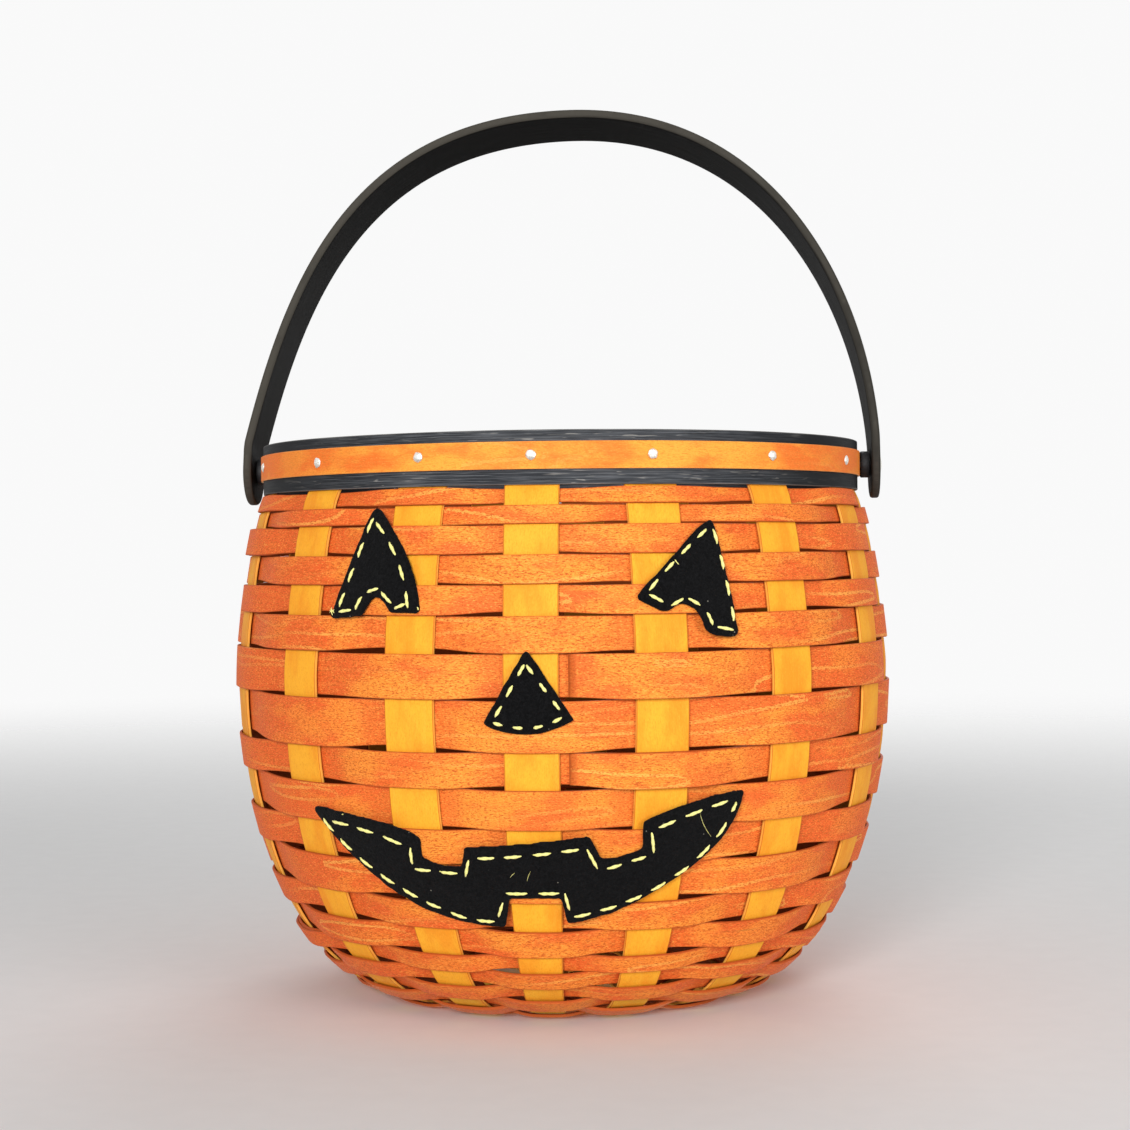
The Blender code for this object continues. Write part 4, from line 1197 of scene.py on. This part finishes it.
def make_stitches(name, seed, paints):
    """Runs of floss stitches; each dips into the felt at its ends. Loose ends and lint lie beside them."""
    vertices, faces = [], []
    for number, (count, *ends) in enumerate(FELT_STITCHES[name]):
        line = bent_line(ends)
        marks = run_marks(line)
        size = (marks[-1] - (count - 1) * STITCH_GAP) / count
        for index in range(count):
            low = index * (size + STITCH_GAP)
            spot = (seed * 3.1, number * 7.7)
            early, late = [STITCH_UNEVEN * wobble(*spot, index * 2.3 + end) for end in (0, 9)]
            span = np.clip(np.linspace(low + early, low + size + late, STITCH_STEPS + 1), 0, marks[-1])
            skew = STITCH_UNEVEN * wobble(seed, number * 1.3, index * 4.1 + 20)
            aside = np.linspace(skew, -skew, STITCH_STEPS + 1)[:, None] * np.array((-0.6, 0.8))
            path = point_on(line, marks, span) + aside
            add_thread(vertices, faces, path, STITCH_RADIUS, seed + number + index)
    for *ends, thick in FELT_LINT[name]:
        add_thread(vertices, faces, bent_line(ends), thick * MM, seed)
    obj = link(name + "_stitches", vertices, faces)
    dress(obj, paints["floss"], "felt_black", "basket")
    return obj


def add_thread(vertices, faces, path, thick, seed):
    """One thread on the felt: a twisted pair of plies, pointed where it goes in at its ends."""
    faces += tube_faces(len(path), THREAD_SIDES, len(vertices))
    asides = square_to(np.gradient(path, axis=0))
    runs = np.linalg.norm(path - path[0], axis=1)
    spreads = np.sin(np.pi * np.arange(len(path)) / (len(path) - 1))
    for point, aside, run, spread in zip(path, asides, runs, spreads):
        radius = thick * (THREAD_TIP + (1 - THREAD_TIP) * min(1.0, 1.25 * spread) ** 0.8)
        rise = thick * (1.1 * min(1.0, 1.6 * spread) - 0.55)
        for side in range(THREAD_SIDES):
            turn = math.tau * side / THREAD_SIDES
            grow = radius * (1 + PLY_DEPTH * math.cos(2 * (turn - run * PLY_TURN + seed)))
            spot = point + aside * grow * math.cos(turn)
            level = FELT_LEVEL + FELT_THICKNESS + rise + grow * math.sin(turn) * THREAD_FLATNESS
            vertices.append(on_weave(*spot, level + felt_relief(*spot)))


# Room, light and camera
FOCAL_PIXELS = 2085
FRAME_PIXELS = 1130
CAMERA_DISTANCE = 784 * MM
CAMERA_HEIGHT = 160 * MM
CAMERA_AZIMUTH = math.radians(4.3)
CAMERA_ROLL = math.radians(0.58)
EYE_POINT = (561.3, 553.0)
SENSOR = 36.0
LAMPS = (
    ("key", (-0.35, -2.2, 0.70), 0.7, 35),
    ("fill", (1.6, -1.55, 0.55), 1.3, 17),
    ("back", (0.3, 1.9, 1.2), 1.4, 14),
)
LAMP_TARGET = (0, 0, 0.12)
SKY_LIGHT = 0.36
SKY_SEEN = 0.95
FLOOR_REACH = 3
FADE_START = 0.5
FADE_END = 1.7
UNDER_BASE_INNER = 0.085
UNDER_BASE_OUTER = 0.11


def make_camera():
    data = bpy.data.cameras.new("photo_camera")
    data.sensor_width = SENSOR
    data.lens = SENSOR * FOCAL_PIXELS / FRAME_PIXELS
    data.shift_x = (FRAME_PIXELS / 2 - EYE_POINT[0]) / FRAME_PIXELS
    data.shift_y = -(FRAME_PIXELS / 2 - EYE_POINT[1]) / FRAME_PIXELS
    data.clip_start = 0.01
    data.clip_end = 20
    camera = bpy.data.objects.new("photo_camera", data)
    roll = Matrix.Rotation(-CAMERA_ROLL, 4, "Z")
    camera.matrix_world = facing(CAMERA_AZIMUTH, CAMERA_DISTANCE, CAMERA_HEIGHT) @ roll
    bpy.context.scene.collection.objects.link(camera)
    bpy.context.scene.camera = camera


def make_lamp(name, place, size, power):
    data = bpy.data.lights.new(name, "AREA")
    data.shape = "DISK"
    data.size = size
    data.energy = power
    lamp = bpy.data.objects.new(name, data)
    lamp.location = place
    lamp.rotation_euler = (Vector(LAMP_TARGET) - Vector(place)).to_track_quat("-Z", "Y").to_euler()
    bpy.context.scene.collection.objects.link(lamp)


def make_room():
    """A room that looks white to the camera and in reflections, and lights the basket less than that."""
    world = bpy.data.worlds.new("studio")
    bpy.context.scene.world = world
    sky = Nodes(world, "Background")
    camera, glossy, through = [
        sky.value("LightPath", f"Is {kind} Ray") for kind in ("Camera", "Glossy", "Transmission")
    ]
    seen = sky.math("MAXIMUM", sky.math("MAXIMUM", camera, glossy), through)
    sky.feed(sky.shader.inputs["Color"], (1, 1, 1, 1))
    sky.feed(sky.shader.inputs["Strength"], sky.span(seen, 0.0, 1.0, SKY_LIGHT, SKY_SEEN))
    for lamp in LAMPS:
        make_lamp(*lamp)
    corners = [(across * FLOOR_REACH, back * FLOOR_REACH, 0)
               for across, back in ((-1, -1), (1, -1), (1, 1), (-1, 1))]
    floor = link("floor", corners, [(0, 1, 2, 3)])
    floor.data.materials.append(floor_material())


def floor_material():
    """Pale floor that fades away far out, isn't there from below, and lets light in under the base."""
    paper = new_material("pale_floor")
    distance = paper.value("VectorMath", "Value", {0: paper.place()}, operation="LENGTH")
    below = paper.value("NewGeometry", "Backfacing")
    lights = 1.0 - paper.value("LightPath", "Is Camera Ray")
    under = paper.span(distance, UNDER_BASE_INNER, UNDER_BASE_OUTER, 1.0, 0.0)
    hidden = paper.math("MAXIMUM", paper.span(distance, FADE_START, FADE_END), below)
    hidden = paper.math("MAXIMUM", hidden, lights * under)
    colour = paper.layers((0.80, 0.80, 0.80), (paper.noise(paper.place(), 90.0, 3.0), (0.84, 0.84, 0.84)))
    material = paper.finish(colour, 0.9, Specular_IOR_Level=0.1)
    solid = Value(paper, paper.shader.outputs[0])
    mixed = paper.value("MixShader", 0, {0: hidden, 1: solid, 2: paper.value("BsdfTransparent", 0)})
    paper.feed(paper.tree.nodes["Material Output"].inputs["Surface"], mixed)
    return material


def main():
    paints = make_paints()
    make_camera()
    make_room()
    make_splints(paints)
    make_weavers(paints)
    make_rim(paints)
    make_tacks(paints)
    make_pivots(paints)
    make_handle(paints)
    for index, (name, outline) in enumerate(FELT_OUTLINES.items()):
        make_felt_patch(name, outline, FIRST_FELT_SEED + FELT_SEED_STEP * index, paints)
    bpy.context.scene.view_settings.view_transform = "Standard"
    bpy.context.view_layer.update()


main()
